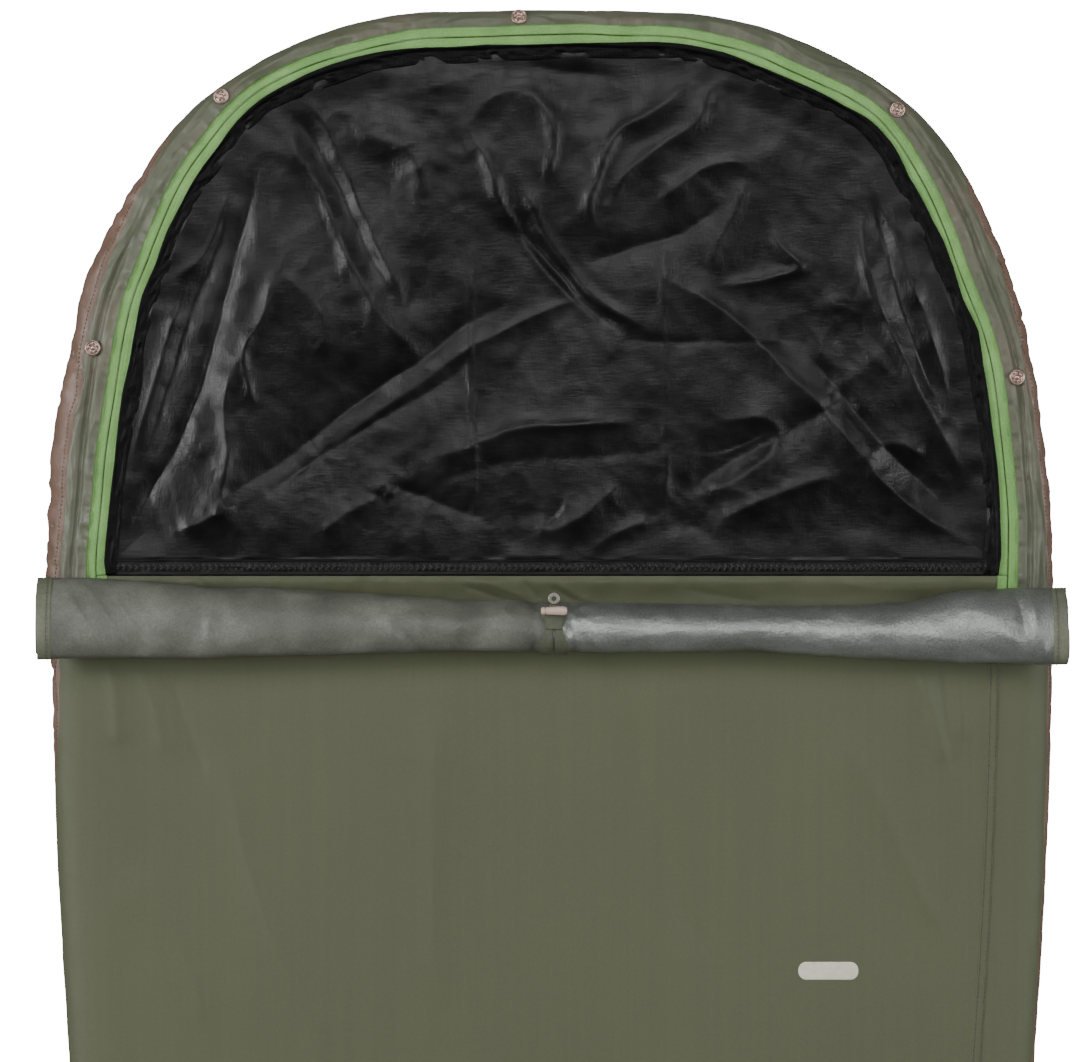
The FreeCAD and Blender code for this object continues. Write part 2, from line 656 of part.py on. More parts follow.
def make_tie_anchor():
    """Fixed foot of the webbing, under the roll, sewn to the top panel."""
    outside = (TIE_X - STRAP_HALF_WIDTH, TIE_X + STRAP_HALF_WIDTH)
    ring = tie_ring(TIE_PIVOT_DEG + FOLD_GAP_DEG, 270.0, outside[0], outside[1])
    top = ROLL_CENTRE_Z - ROLL_OUTER_RADIUS - TIE_CLEARANCE
    run = block(outside, (ROLL_Y - ROLL_FLAT_HALF, ROLL_Y), (top - STRAP_THICKNESS, top))
    foot = block(outside, (ROLL_Y - ANCHOR_FOOT, ROLL_Y), (LID_Z, top - STRAP_THICKNESS))
    return ring.fuse([run, foot]).removeSplitter()


def make_eye():
    """Small metal eye at the end of the tab."""
    low, high = strap_levels()
    eye = Part.makeCylinder(EYE_OUTER_RADIUS, high - low, Vector(TIE_X, EYE_Y, low))
    eye = eye.makeFillet(EYE_ROUNDING, level_edges(eye, low) + level_edges(eye, high))
    return eye.cut(Part.makeCylinder(EYE_HOLE_RADIUS, high - low, Vector(TIE_X, EYE_Y, low)))


def make_toggle():
    """Cross bar with a groove near one end and rounded tips, on a short neck."""
    low, high = strap_levels()
    centre_z = high + TIE_CLEARANCE + TOGGLE_RADIUS
    half = TOGGLE_LENGTH / 2.0
    slim = TOGGLE_SLIM_RADIUS
    groove = -half + TOGGLE_HEAD + TOGGLE_GROOVE
    profile = [(0.0, -half),
               (slim - TOGGLE_TIP, -half),
               (slim, -half + TOGGLE_TIP),
               (slim, groove - TOGGLE_GROOVE),
               (slim - TOGGLE_GROOVE, groove),
               (slim, groove + TOGGLE_GROOVE),
               (TOGGLE_RADIUS, half - TOGGLE_BLUNT_TIP),
               (TOGGLE_RADIUS - TOGGLE_TIP, half),
               (0.0, half)]
    points = [Vector(TIE_X + along, TOGGLE_Y, centre_z + radius) for radius, along in profile]
    section = Part.Face(Part.makePolygon(points + [points[0]]))
    bar = section.revolve(Vector(TIE_X, TOGGLE_Y, centre_z), Vector(1, 0, 0), 360.0)
    neck_low = low + TOGGLE_NECK_FOOT
    neck = Part.makeCylinder(TOGGLE_NECK_RADIUS, centre_z - neck_low, Vector(TIE_X, TOGGLE_Y, neck_low))
    return bar.fuse(neck).removeSplitter()


# ---------------------------------------------------------------- write every node

def main():
    os.makedirs("parts", exist_ok=True)
    floor_sheet, floor_side = make_tub()
    rim, top_panel, gusset, seam = make_upper_panels()
    outer_tape, outer_coil = make_outer_zip()
    inner_tape, inner_coil, tails = make_inner_zip()
    net, arch_binding, hem_binding = make_net_door()
    roll_end = ROLL_HALF_LENGTH + FACING_WIDTH
    slider = zip_frame(make_slider(), SLIDER_PARK_DEG)
    pull = zip_frame(make_pull(), SLIDER_PARK_DEG)

    save("floor_panel", floor_sheet)
    save("floor_turn_up", floor_side)
    save("top_panel", top_panel)
    save("side_gusset_right", gusset)
    save("gusset_seam", seam)
    save("hood_rim", rim)
    save("perimeter_seam_tape", make_seam_tape())
    save("reflective_patch", make_patch())
    save("rim_press_studs", make_studs())
    save("stud_backing_rings", make_stud_backings())
    save("zip_tape_outer", outer_tape)
    save("zip_coil_outer", outer_coil)
    save("zip_tails", tails)
    save("zip_end_stops", make_zip_stops())

    save("net_panel", net)
    save("net_arch_binding", arch_binding)
    save("net_hem_binding", hem_binding)
    save("zip_tape_inner", inner_tape)
    save("zip_coil_inner", inner_coil)

    save("flap_roll", make_wound(ROLL_TURNS, -ROLL_HALF_LENGTH, ROLL_HALF_LENGTH))
    save("flap_facing_left", make_wound(FACING_TURNS, -roll_end, -ROLL_HALF_LENGTH))
    save("flap_facing_right", make_wound(FACING_TURNS, ROLL_HALF_LENGTH, roll_end))
    save("flap_press_sockets", make_sockets())

    save("tie_anchor", make_tie_anchor())
    save("tie_strap", make_tie_strap())
    save("tie_eye", make_eye())
    save("tie_toggle", make_toggle())

    save("zip_slider_right", slider)
    save("zip_slider_left", mirrored(slider))
    save("zip_pull_right", pull)
    save("zip_pull_left", mirrored(pull))

    pin = zip_frame(Part.Vertex(0.0, PULL_PIN_Y, pull_pivot_z()), SLIDER_PARK_DEG).Point
    print("sliders turn about x %.2f y %.2f" % (ZIP[0][0], ZIP[0][1]))
    print("pull pins at x %.3f y %.3f z %.3f" % (pin.x, pin.y, pin.z))


main()
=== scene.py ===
import math

import bpy
import numpy as np
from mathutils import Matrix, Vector
from mathutils.kdtree import KDTree


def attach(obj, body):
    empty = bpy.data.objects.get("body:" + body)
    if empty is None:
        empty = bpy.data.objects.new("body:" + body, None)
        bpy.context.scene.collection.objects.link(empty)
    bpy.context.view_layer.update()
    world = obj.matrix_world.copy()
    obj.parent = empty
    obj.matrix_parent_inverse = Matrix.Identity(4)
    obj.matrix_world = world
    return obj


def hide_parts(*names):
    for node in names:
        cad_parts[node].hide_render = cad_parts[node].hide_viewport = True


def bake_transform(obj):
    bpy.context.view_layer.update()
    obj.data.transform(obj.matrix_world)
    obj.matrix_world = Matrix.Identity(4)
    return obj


# Looks of a flat bivy sack, seen from straight above with its head end at the top.
# Metres, +Y towards the head, the same frame as the CAD model. Fold lines are in millimetres.

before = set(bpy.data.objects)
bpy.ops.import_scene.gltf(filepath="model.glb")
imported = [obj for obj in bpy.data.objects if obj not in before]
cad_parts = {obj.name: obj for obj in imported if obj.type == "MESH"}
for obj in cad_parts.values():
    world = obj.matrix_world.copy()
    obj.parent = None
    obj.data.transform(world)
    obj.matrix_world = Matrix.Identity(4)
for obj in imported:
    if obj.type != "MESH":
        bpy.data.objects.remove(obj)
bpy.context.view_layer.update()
MM = 0.001

# ------------------------------------------------------------------ sizes

LENGTH = 2.300
SHOULDER_HALF_WIDTH = 0.4424
SHOULDER_Y = 0.649
SIDE_RADIUS = 5.600
SIDE_TAPER_DEG = 4.05
FOOT_CORNER_RADIUS = 0.150
HEAD_LEG = (0.997, 14.8)
HEAD_SHOULDER = (0.3286, 88.3)

ZIP_HALF_WIDTH = 0.4015
ZIP_WIDEST_Y = 0.672
ZIP_LEG_RADIUS = 0.744
ZIP_LEG_DEG = (-5.6, 24.3)
ZIP_SHOULDER = (0.240, 82.5)
ZIP_BAND_HALF = 0.0095
ZIP_GAP_HALF = 0.00078
TAPE_Z = 0.0352
TAPE_CLOTH = 0.0008
TAPE_COLUMNS = 14

EDGE_MIDDLE_Z = 0.016
LID_Z = 0.036
EDGE_POWER = 2.6
EDGE_WIDTH = 0.045
UNDER_EDGE = 0.009
SEAM_INSET = 0.053

HINGE_Y = 0.6505
HEM_TOP_Y = 0.6645
NET_Z = 0.0345

ROLL_HALF_LENGTH = 0.438
ROLL_END = 0.4505
ROLL_Z = 0.0645
ROLL_PITCH = 0.0048
ROLL_TURNS = 4.0
ROLL_LEAN = 0.23
ROOT_Y = 0.596
ROOT_RISE = 0.30
ROOT_LOW_Z = 0.0378

STUDS = [(-29.0, 1142.0), (-291.0, 1072.0), (303.8, 1060.4), (-404.0, 851.0), (409.0, 825.0)]
TIE_X = 0.0015
TIE_HALF = 0.0122
TIE_JOIN_Y = 0.6065
WEBBING = 0.0013

OUTLINE_STEP = 0.0025
ZIP_STEP = 0.0018


# ------------------------------------------------------------------ noise

def lattice(ix, iy, seed):
    """Repeatable random numbers from -1 to 1 on the corners of a square lattice."""
    h = ix.astype(np.int64) * 374761393 + iy.astype(np.int64) * 668265263 + seed * 974634777
    h = (h ^ (h >> 13)) * 1274126177 & 0xFFFFFFFF
    h = (h ^ (h >> 16)) & 0xFFFFFF
    return h / float(0xFFFFFF) * 2.0 - 1.0


def noise(x, y, seed):
    """Smooth value noise from -1 to 1."""
    ix, iy = np.floor(x), np.floor(y)
    fx, fy = x - ix, y - iy
    fx = fx * fx * fx * (fx * (fx * 6 - 15) + 10)
    fy = fy * fy * fy * (fy * (fy * 6 - 15) + 10)
    ix, iy = ix.astype(np.int64), iy.astype(np.int64)
    low = lattice(ix, iy, seed) * (1 - fx) + lattice(ix + 1, iy, seed) * fx
    high = lattice(ix, iy + 1, seed) * (1 - fx) + lattice(ix + 1, iy + 1, seed) * fx
    return low * (1 - fy) + high * fy


def fbm(x, y, seed, octaves=4, gain=0.5):
    """Several layers of noise, each twice as fine as the one before."""
    total, weight, norm = 0.0, 1.0, 0.0
    for k in range(octaves):
        turn = 0.6 * k
        u = x * math.cos(turn) - y * math.sin(turn)
        v = x * math.sin(turn) + y * math.cos(turn)
        total = total + weight * noise(u * 2 ** k, v * 2 ** k, seed + 31 * k)
        norm += weight
        weight *= gain
    return total / norm


def ridged(x, y, seed, octaves=3):
    """Noise with sharp crests, from 0 to 1, like crumpled cloth."""
    total, weight, norm = 0.0, 1.0, 0.0
    for k in range(octaves):
        turn = 0.9 * k + 0.3
        u = x * math.cos(turn) - y * math.sin(turn)
        v = x * math.sin(turn) + y * math.cos(turn)
        crest = 1.0 - np.sqrt(noise(u * 1.9 ** k, v * 1.9 ** k, seed + 57 * k) ** 2 + 0.004)
        total = total + weight * crest ** 2
        norm += weight
        weight *= 0.5
    return total / norm


def smoothstep(low, high, x):
    t = np.clip((x - low) / (high - low), 0.0, 1.0)
    return t * t * (3 - 2 * t)


# ------------------------------------------------------------------ plan contours

def on_arc(arc, normal_deg, offset=0.0):
    a = math.radians(normal_deg)
    reach = arc[2] + offset
    return (arc[0] + reach * math.cos(a), arc[1] + reach * math.sin(a))


def next_arc(arc, radius, last_deg):
    """The arc of another radius that goes on smoothly from the end of an arc."""
    a = math.radians(arc[4])
    shift = arc[2] - radius
    return (arc[0] + shift * math.cos(a), arc[1] + shift * math.sin(a), radius, arc[4], last_deg)


def crown_arc(arc):
    """The arc that goes on from the end of an arc and is level on the centre line."""
    return next_arc(arc, arc[2] + arc[0] / math.cos(math.radians(arc[4])), 90.0)


def both_sides(right):
    return right + [(-x, y, r, 180.0 - b, 180.0 - a) for x, y, r, a, b in reversed(right)]


def bag_arcs():
    side = (SHOULDER_HALF_WIDTH - SIDE_RADIUS, SHOULDER_Y, SIDE_RADIUS, -SIDE_TAPER_DEG, 0.0)
    leg = next_arc(side, *HEAD_LEG)
    shoulder = next_arc(leg, *HEAD_SHOULDER)
    taper = math.radians(-SIDE_TAPER_DEG)
    foot = on_arc(side, -SIDE_TAPER_DEG)
    corner_y = -LENGTH / 2.0 + FOOT_CORNER_RADIUS
    reach = foot[0] * math.cos(taper) + foot[1] * math.sin(taper) - FOOT_CORNER_RADIUS
    corner_x = (reach - corner_y * math.sin(taper)) / math.cos(taper)
    corner = (corner_x, corner_y, FOOT_CORNER_RADIUS, -90.0, -SIDE_TAPER_DEG)
    return both_sides([corner, side, leg, shoulder, crown_arc(shoulder)])


def zip_arcs():
    leg = (ZIP_HALF_WIDTH - ZIP_LEG_RADIUS, ZIP_WIDEST_Y, ZIP_LEG_RADIUS) + ZIP_LEG_DEG
    shoulder = next_arc(leg, *ZIP_SHOULDER)
    return both_sides([leg, shoulder, crown_arc(shoulder)])


def walk(arcs, step, closed=False):
    """Points and outward normals along a chain of arcs, with straight runs in the gaps."""
    points, normals = [], []

    def add(x, y, a):
        points.append((x, y))
        normals.append((math.cos(a), math.sin(a)))

    chain = arcs + [arcs[0]] if closed else arcs
    for k, arc in enumerate(chain):
        first = math.radians(arc[3])
        start = on_arc(arc, arc[3])
        if points:
            last = points[-1]
            gap = math.hypot(start[0] - last[0], start[1] - last[1])
            if gap > 1e-5:
                count = max(2, int(gap / step))
                for i in range(1, count):
                    t = i / count
                    add(last[0] + (start[0] - last[0]) * t, last[1] + (start[1] - last[1]) * t, first)
        if closed and k == len(chain) - 1:
            break
        count = max(2, int(arc[2] * math.radians(arc[4] - arc[3]) / step))
        for i in range(0 if not points or gap > 1e-5 else 1, count + 1):
            angle = arc[3] + (arc[4] - arc[3]) * i / count
            x, y = on_arc(arc, angle)
            add(x, y, math.radians(angle))
    return np.array(points), np.array(normals)


def travel(points):
    """Distance along a line of points."""
    steps = np.linalg.norm(np.diff(points, axis=0), axis=1)
    return np.concatenate([[0.0], np.cumsum(steps)])


def table(x, pairs):
    """Straight-line look-up in a short list of (x, value)."""
    pairs = sorted(pairs)
    return np.interp(x, [p[0] for p in pairs], [p[1] for p in pairs])


def beside(points, normals, reach):
    """Plan coordinates at a reach outwards from a line, in one row for each of its points."""
    return points[:, 0:1] + normals[:, 0:1] * reach, points[:, 1:2] + normals[:, 1:2] * reach


def pushed(points, normals, distance, window):
    """A line moved along its normals by distances in millimetres, averaged over a window of samples."""
    soft = np.convolve(distance, np.ones(window) / window, "same") * MM
    return points + normals * soft[:, None]


def tree_of(points):
    tree = KDTree(len(points))
    for i, p in enumerate(points):
        tree.insert((p[0], p[1], 0.0), i)
    tree.balance()
    return tree


def nearest(tree, x, y):
    """Which of a tree's points is nearest to each plan point, and how far away it is."""
    found = [tree.find((a, b, 0.0)) for a, b in zip(x.ravel(), y.ravel())]
    index = np.array([f[1] for f in found]).reshape(x.shape)
    return index, np.array([f[2] for f in found]).reshape(x.shape)


# How far the zip's line wanders outwards from its arcs, by distance from its right-hand end (m, mm).
# It keeps to the arcs where the sliders stand at the ends of their travel
ZIP_WANDER = [(0.00, 0), (0.07, 0), (0.10, 0.8), (0.15, 0.2), (0.18, 0.8), (0.21, 2.4), (0.24, 4.0),
              (0.27, 3.2),
              (0.30, 0.2), (0.33, -1.4), (0.355, 0), (0.42, 0), (0.45, 2.2), (0.48, 3.6), (0.51, 0),
              (0.54, -4.8), (0.57, -5.6), (0.60, -2.2), (0.63, -0.4), (0.66, 2.8), (0.69, 2.5), (0.72, 0.1),
              (0.75, 0.8), (0.78, -0.4), (0.84, -0.8), (0.87, 0.5), (0.90, 2.3), (0.93, 0.2), (0.96, -1.9),
              (0.99, -0.2), (1.02, 1.2), (1.05, 3.1), (1.08, 2.0), (1.11, -0.6), (1.14, 0), (1.20, 0),
              (1.23, -0.2), (1.26, 1.7), (1.29, 0.4), (1.32, -2.0), (1.35, -3.8), (1.38, -3.8), (1.41, -3.5),
              (1.44, -3.8), (1.47, -2.2), (1.495, 0), (1.60, 0)]
# How far the bag's outline stands out from its own arcs, by height on the bag (m, mm)
OUT_LEFT = [(1.150, 0), (1.10, 1.5), (1.06, 3.2), (1.043, 3.0), (1.007, 0.8), (0.972, 1.0), (0.955, 2.0),
            (0.937, 4.3), (0.902, 6.6), (0.884, 5.6), (0.849, 5.0), (0.831, 4.0), (0.779, 6.0), (0.743, 5.0),
            (0.717, 3.4), (0.691, 5.4), (0.65, 5.0), (0.60, 2.5), (0.56, 0), (-1.2, 0)]
OUT_RIGHT = [(1.150, 0), (1.12, 0.5), (1.085, 3.0), (1.06, 4.2), (1.04, 3.4), (1.007, 2.6), (0.99, 0.8),
             (0.962, -1.8), (0.93, -0.5), (0.88, 0), (-1.2, 0)]

BAG_P, BAG_N = walk(bag_arcs(), OUTLINE_STEP, closed=True)
# the samples begin at the middle of the foot and go round by the right
foot_first = np.where(BAG_P[:, 0] >= 0.0, BAG_P[:, 0], 1.0) + np.where(BAG_P[:, 1] < 0.0, 0.0, 1.0)
BAG_P, BAG_N = (np.roll(a, -int(np.argmin(foot_first)), axis=0) for a in (BAG_P, BAG_N))
stand = np.where(BAG_P[:, 0] < 0, table(BAG_P[:, 1], OUT_LEFT), table(BAG_P[:, 1], OUT_RIGHT))
BAG_P = pushed(BAG_P, BAG_N, stand, 9)
BAG_S = travel(BAG_P)

ZIP_P, ZIP_N = walk(zip_arcs(), ZIP_STEP)
ZIP_P = pushed(ZIP_P, ZIP_N, table(travel(ZIP_P), ZIP_WANDER), 13)
ZIP_S = travel(ZIP_P)

bag_tree = tree_of(BAG_P)
zip_tree = tree_of(ZIP_P)


def inset_of(x, y):
    """How far inside the bag's outline points are, and the nearest outline sample."""
    index, _ = nearest(bag_tree, x, y)
    d = (BAG_P[index, 0] - x) * BAG_N[index, 0] + (BAG_P[index, 1] - y) * BAG_N[index, 1]
    return d, index


def edge_widths():
    """Width of the rounded edge round the outline: narrow where the zip runs close to it."""
    _, from_zip = nearest(zip_tree, BAG_P[:, 0], BAG_P[:, 1])
    beside_zip = np.clip(from_zip - ZIP_BAND_HALF + 0.001, 0.013, EDGE_WIDTH)
    return np.where(BAG_P[:, 1] > 0.60, beside_zip, EDGE_WIDTH)


EDGE_W = edge_widths()

# How far in from the outline the brown floor fabric shows, by height on the bag (millimetres).
BROWN_LEFT = [(1.150, -3), (1.075, -2), (1.043, 3), (1.0, 9), (0.95, 15), (0.92, 18), (0.902, 18),
              (0.884, 16),
              (0.849, 14.5), (0.832, 16), (0.814, 19.5), (0.796, 17), (0.779, 18),
              (0.743, 16.5), (0.708, 15.5),
              (0.691, 17), (0.673, 15), (0.65, 13.5), (0.585, 9), (0.52, 6), (0.47, 2),
              (0.40, -2), (-1.2, -3)]
BROWN_RIGHT = [(1.150, -3), (1.05, -2), (1.015, 2), (0.99, 6.5), (0.95, 8), (0.90, 8), (0.84, 9), (0.80, 7.5),
               (0.77, 9), (0.70, 7.5), (0.62, 5.5), (0.5, 4), (0.2, 3), (-0.3, 2), (-0.8, -1), (-1.2, -3)]


def brown_inset():
    left = table(BAG_P[:, 1], BROWN_LEFT)
    right = table(BAG_P[:, 1], BROWN_RIGHT)
    wobble = 0.8 * noise(BAG_S * 22.0, BAG_S * 0 + 0.5, 5)
    return (np.where(BAG_P[:, 0] < 0, left, right) + wobble) * MM


BROWN = brown_inset()


def edge_profile(phi, width):
    """Inset and height round the bag's edge: 0 is on top, a quarter turn outermost, half a turn below."""
    phi = np.asarray(phi, float)
    upper = np.clip(phi, 0.0, math.pi / 2)
    p = 2.0 / EDGE_POWER
    d = width * (1.0 - np.sin(upper) ** p)
    z = EDGE_MIDDLE_Z + (LID_Z - EDGE_MIDDLE_Z) * np.cos(upper) ** p
    lower = np.clip(phi - math.pi / 2, 0.0, math.pi / 2)
    d = np.where(phi > math.pi / 2, UNDER_EDGE * (1.0 - np.cos(lower)), d)
    z = np.where(phi > math.pi / 2, EDGE_MIDDLE_Z * (1.0 - np.sin(lower)), z)
    return d, z


def seam_phi(inset, width):
    """Place round the edge at which the brown fabric begins."""
    ratio = np.clip((width - inset) / width, 0.0, 1.0)
    above = np.arcsin(ratio ** (EDGE_POWER / 2.0))
    below = math.pi / 2 + np.clip(-inset / 0.009, 0.0, 1.0) * 0.6
    return np.where(inset > 0.0, above, below)


def profile_height(d, width):
    """Height of the lid at an inset."""
    t = np.clip(1.0 - d / width, 0.0, 1.0)
    return EDGE_MIDDLE_Z + (LID_Z - EDGE_MIDDLE_Z) * (1.0 - t ** EDGE_POWER) ** (1.0 / EDGE_POWER)


# ------------------------------------------------------------------ folds

def rounded_line(points):
    """A bent line with its corners cut twice."""
    for _ in range(2):
        a, b = points[:-1], points[1:]
        cut = np.stack([a * 0.75 + b * 0.25, a * 0.25 + b * 0.75], axis=1).reshape(-1, 2)
        points = np.concatenate([points[:1], cut, points[-1:]])
    return points


def fold_field(x, y, folds):
    """Height of creases, each (height mm, width mm, [(x mm, y mm), ...]) and fading at its ends."""
    total = np.zeros_like(x)
    warp = 3.0 * MM
    wx = x + warp * fbm(x * 16.0, y * 16.0, 71, 3)
    wy = y + warp * fbm(x * 16.0, y * 16.0, 72, 3)
    for height, width, line in folds:
        pts = rounded_line(np.array(line, float) * MM)
        lengths = travel(pts)
        full = lengths[-1]
        best = np.full(x.shape, 1e9)
        where = np.zeros_like(x)
        for k in range(len(pts) - 1):
            a, b = pts[k], pts[k + 1]
            ab = b - a
            t = np.clip(((wx - a[0]) * ab[0] + (wy - a[1]) * ab[1]) / (ab @ ab), 0.0, 1.0)
            d = np.hypot(wx - a[0] - t * ab[0], wy - a[1] - t * ab[1])
            near = d < best
            best = np.where(near, d, best)
            where = np.where(near, lengths[k] + t * np.linalg.norm(ab), where)
        share = where / full
        ends = np.clip(np.minimum(share, 1.0 - share) * 5.0, 0.0, 1.0)
        ends = 0.25 + 0.75 * ends * ends * (3 - 2 * ends)
        w = width * MM * (0.75 + 0.5 * noise(where * 9.0 + height, where * 0.0, 73) * 0.6)
        tent = np.exp(-(np.sqrt(best ** 2 + (0.16 * w) ** 2) - 0.16 * w) / w)
        total += height * MM * ends * tent
    return total


NET_FOLDS = [
    (5.0, 15, [(-245, 1055), (-217, 1014), (-192, 963), (-173, 919), (-148, 872), (-110, 838)]),
    (4.0, 12, [(-217, 1080), (-195, 1033), (-176, 992), (-160, 954), (-138, 910), (-132, 882)]),
    (-5.0, 14, [(-226, 1062), (-192, 1000), (-166, 946), (-144, 900)]),
    (-3.5, 9, [(-258, 1012), (-272, 951), (-286, 901), (-298, 847), (-310, 803), (-345, 740), (-380, 674)]),
    (1.7, 22, [(-252, 1009), (-243, 973), (-240, 919), (-250, 875), (-264, 840), (-274, 790), (-292, 735),
               (-325, 680)]),
    (3.5, 9, [(-242, 919), (-254, 875), (-273, 853), (-270, 822), (-259, 791)]),
    (3.5, 11, [(-273, 853), (-289, 806), (-286, 753), (-295, 709), (-270, 687)]),
    (3.5, 12, [(-287, 989), (-295, 951), (-311, 923), (-346, 912)]),
    (-6.0, 16, [(-283, 985), (-300, 919), (-322, 869), (-336, 816), (-364, 743)]),
    (4.5, 12, [(-324, 901), (-339, 857), (-355, 800), (-371, 753)]),
    (-4.5, 15, [(-292, 720), (-226, 760), (-164, 810), (-114, 842), (-82, 871), (-40, 890)]),
    (-3.5, 15, [(34, 926), (66, 936), (112, 952), (152, 978)]),
    (1.8, 7, [(-223, 740), (-160, 789), (-110, 822), (-78, 850), (-25, 875), (28, 897)]),
    (-2.8, 11, [(-248, 726), (-217, 748), (-160, 784), (-110, 812), (-66, 846)]),
    (5.0, 12, [(-78, 1048), (-53, 1014), (-47, 982), (-25, 945), (6, 907), (28, 885), (60, 860)]),
    (5.0, 12, [(-28, 1001), (-9, 954), (16, 919), (35, 894), (85, 863)]),
    (-7.5, 13, [(-40, 975), (-34, 957), (3, 923), (28, 888), (66, 861)]),
    (4.6, 13, [(-104, 752), (-63, 766), (-34, 781), (13, 783), (66, 787)]),
    (-2.0, 14, [(-100, 732), (-47, 750), (19, 756), (90, 760)]),
    (5.0, 14, [(123, 1092), (98, 1061), (60, 1045), (44, 1014), (28, 976), (44, 945)]),
    (4.5, 13, [(173, 1080), (148, 1089), (135, 1073), (129, 1051), (98, 1029), (63, 1004), (50, 976)]),
    (3.5, 13, [(91, 979), (120, 998), (148, 1014), (176, 1017)]),
    (3.0, 10, [(135, 919), (148, 954), (164, 976), (170, 1004)]),
    (3.5, 10, [(192, 963), (204, 938), (223, 923), (201, 913), (148, 905)]),
    (5.5, 17, [(98, 913), (148, 888), (173, 863), (204, 828), (233, 806), (270, 756), (286, 731),
                (380, 668)]),
    (-5.5, 15, [(223, 846), (262, 804), (293, 757), (343, 716)]),
    (5.0, 15, [(274, 982), (270, 938), (289, 879), (318, 822), (346, 769), (362, 734)]),
    (4.0, 12, [(286, 989), (311, 919), (333, 863), (349, 806)]),
    (-4.0, 12, [(278, 992), (296, 920), (318, 850), (344, 790)]),
    (4.0, 18, [(270, 752), (300, 768), (328, 754)]),
    (2.6, 20, [(236, 806), (268, 826), (292, 850)]),
    (4.5, 18, [(123, 718), (167, 737), (198, 762), (198, 791), (148, 787)]),
    (4.5, 14, [(148, 699), (192, 721), (255, 740)]),
    (4.0, 12, [(32, 668), (57, 690), (91, 699)]),
    (-5.0, 20, [(107, 721), (173, 762), (239, 794), (270, 822)]),
    (1.5, 4, [(-71, 960), (-71, 857), (-69, 700)]),
    (1.5, 4, [(98, 960), (98, 857), (99, 700)]),
    (-1.0, 5, [(60, 857), (120, 856), (217, 856)]),
    (-3.5, 12, [(-28, 1102), (10, 1095), (54, 1091)]),
    (3.5, 12, [(-154, 1099), (-141, 1092), (-97, 1095)]),
    (4.5, 15, [(-78, 1048), (-47, 1080), (-16, 1073), (6, 1045), (-9, 989)]),
    (3.0, 14, [(-185, 1036), (-160, 1036), (-135, 1029), (-119, 1011), (-107, 976)]),
    (3.0, 14, [(-239, 919), (-210, 894), (-195, 866), (-210, 841)]),
    (4.5, 14, [(-6, 706), (-9, 684), (28, 699), (60, 734)]),
    (3.0, 12, [(-204, 687), (-179, 706), (-148, 721)]),
    (3.0, 10, [(-154, 721), (-148, 734), (-138, 718)]),
    (3.5, 16, [(-330, 690), (-300, 702), (-275, 716)]),
    (-3.0, 14, [(-140, 730), (-95, 712), (-60, 700)]),
]

TOP_FOLDS = [
    (2.7, 8, [(-392, 572), (-386, 540), (-379, 500)]),
    (2.0, 7, [(-366, 570), (-348, 530), (-336, 490)]),
    (-2.0, 9, [(-340, 570), (-322, 520), (-300, 470)]),
    (3.7, 9, [(322, 572), (330, 545), (337, 520), (350, 480)]),
    (2.4, 7, [(352, 574), (360, 540), (362, 500)]),
    (-2.4, 8, [(340, 572), (345, 530), (356, 470)]),
    (2.6, 14, [(-380, 400), (-330, 340), (-300, 250)]),
    (2.4, 18, [(-100, 540), (-110, 420), (-96, 260)]),
    (-2.3, 16, [(60, 540), (90, 430), (140, 300)]),
    (2.7, 14, [(250, 520), (300, 430), (345, 330)]),
    (2.6, 14, [(-290, 520), (-268, 380), (-215, 270), (-190, 120)]),
    (2.8, 20, [(-300, -80), (-120, -160), (90, -150)]),
    (-2.7, 22, [(-220, -330), (-60, -420), (150, -470)]),
    (2.8, 18, [(230, -60), (120, -260), (90, -480)]),
    (2.4, 22, [(-260, -640), (-80, -720), (120, -700)]),
    (-2.2, 20, [(200, -600), (120, -800), (40, -1000)]),
    (2.2, 18, [(-180, -860), (-40, -900), (160, -1010)]),
]


HEM_FOLDS = [
    (-2.2, 4, [(-374, 648), (-362, 642), (-340, 638)]),
    (1.6, 4, [(-376, 644), (-356, 635), (-338, 632)]),
    (-1.8, 4, [(-313, 649), (-305, 642), (-302, 630)]),
    (-1.8, 4, [(-78, 641), (-56, 633), (-40, 627)]),
    (1.6, 4, [(-66, 646), (-44, 638), (-20, 630)]),
    (-1.8, 4, [(-24, 646), (-16, 636), (-10, 628)]),
    (1.6, 4, [(6, 644), (20, 635), (36, 628)]),
    (-1.8, 4, [(-2, 641), (14, 633), (26, 626)]),
    (-1.2, 5, [(110, 640), (150, 632), (190, 629)]),
    (1.0, 5, [(250, 645), (300, 638), (350, 640)]),
]


def slack_height(x, y):
    """Slack of the upper fabric: long swells, a faint crumple and the listed creases."""
    soft = 0.0026 * fbm(x * 3.2, y * 2.4, 11, 3) + 0.0006 * (ridged(x * 8.0, y * 6.0, 12) - 0.5)
    return soft + fold_field(x, y, TOP_FOLDS)


def lid_height(x, y):
    """Height of the upper fabric at plan points: rounded edge and slack."""
    d, index = inset_of(x, y)
    return profile_height(d, EDGE_W[index]) + smoothstep(0.004, 0.06, d) * slack_height(x, y)


# ------------------------------------------------------------------ mesh helpers

def xyz(x, y, z):
    """Points from their coordinates, each spread to the same shape first."""
    return np.stack(np.broadcast_arrays(x, y, z), axis=-1)


def unit(rows):
    """Vectors of length one."""
    return rows / np.maximum(np.linalg.norm(rows, axis=-1, keepdims=True), 1e-9)


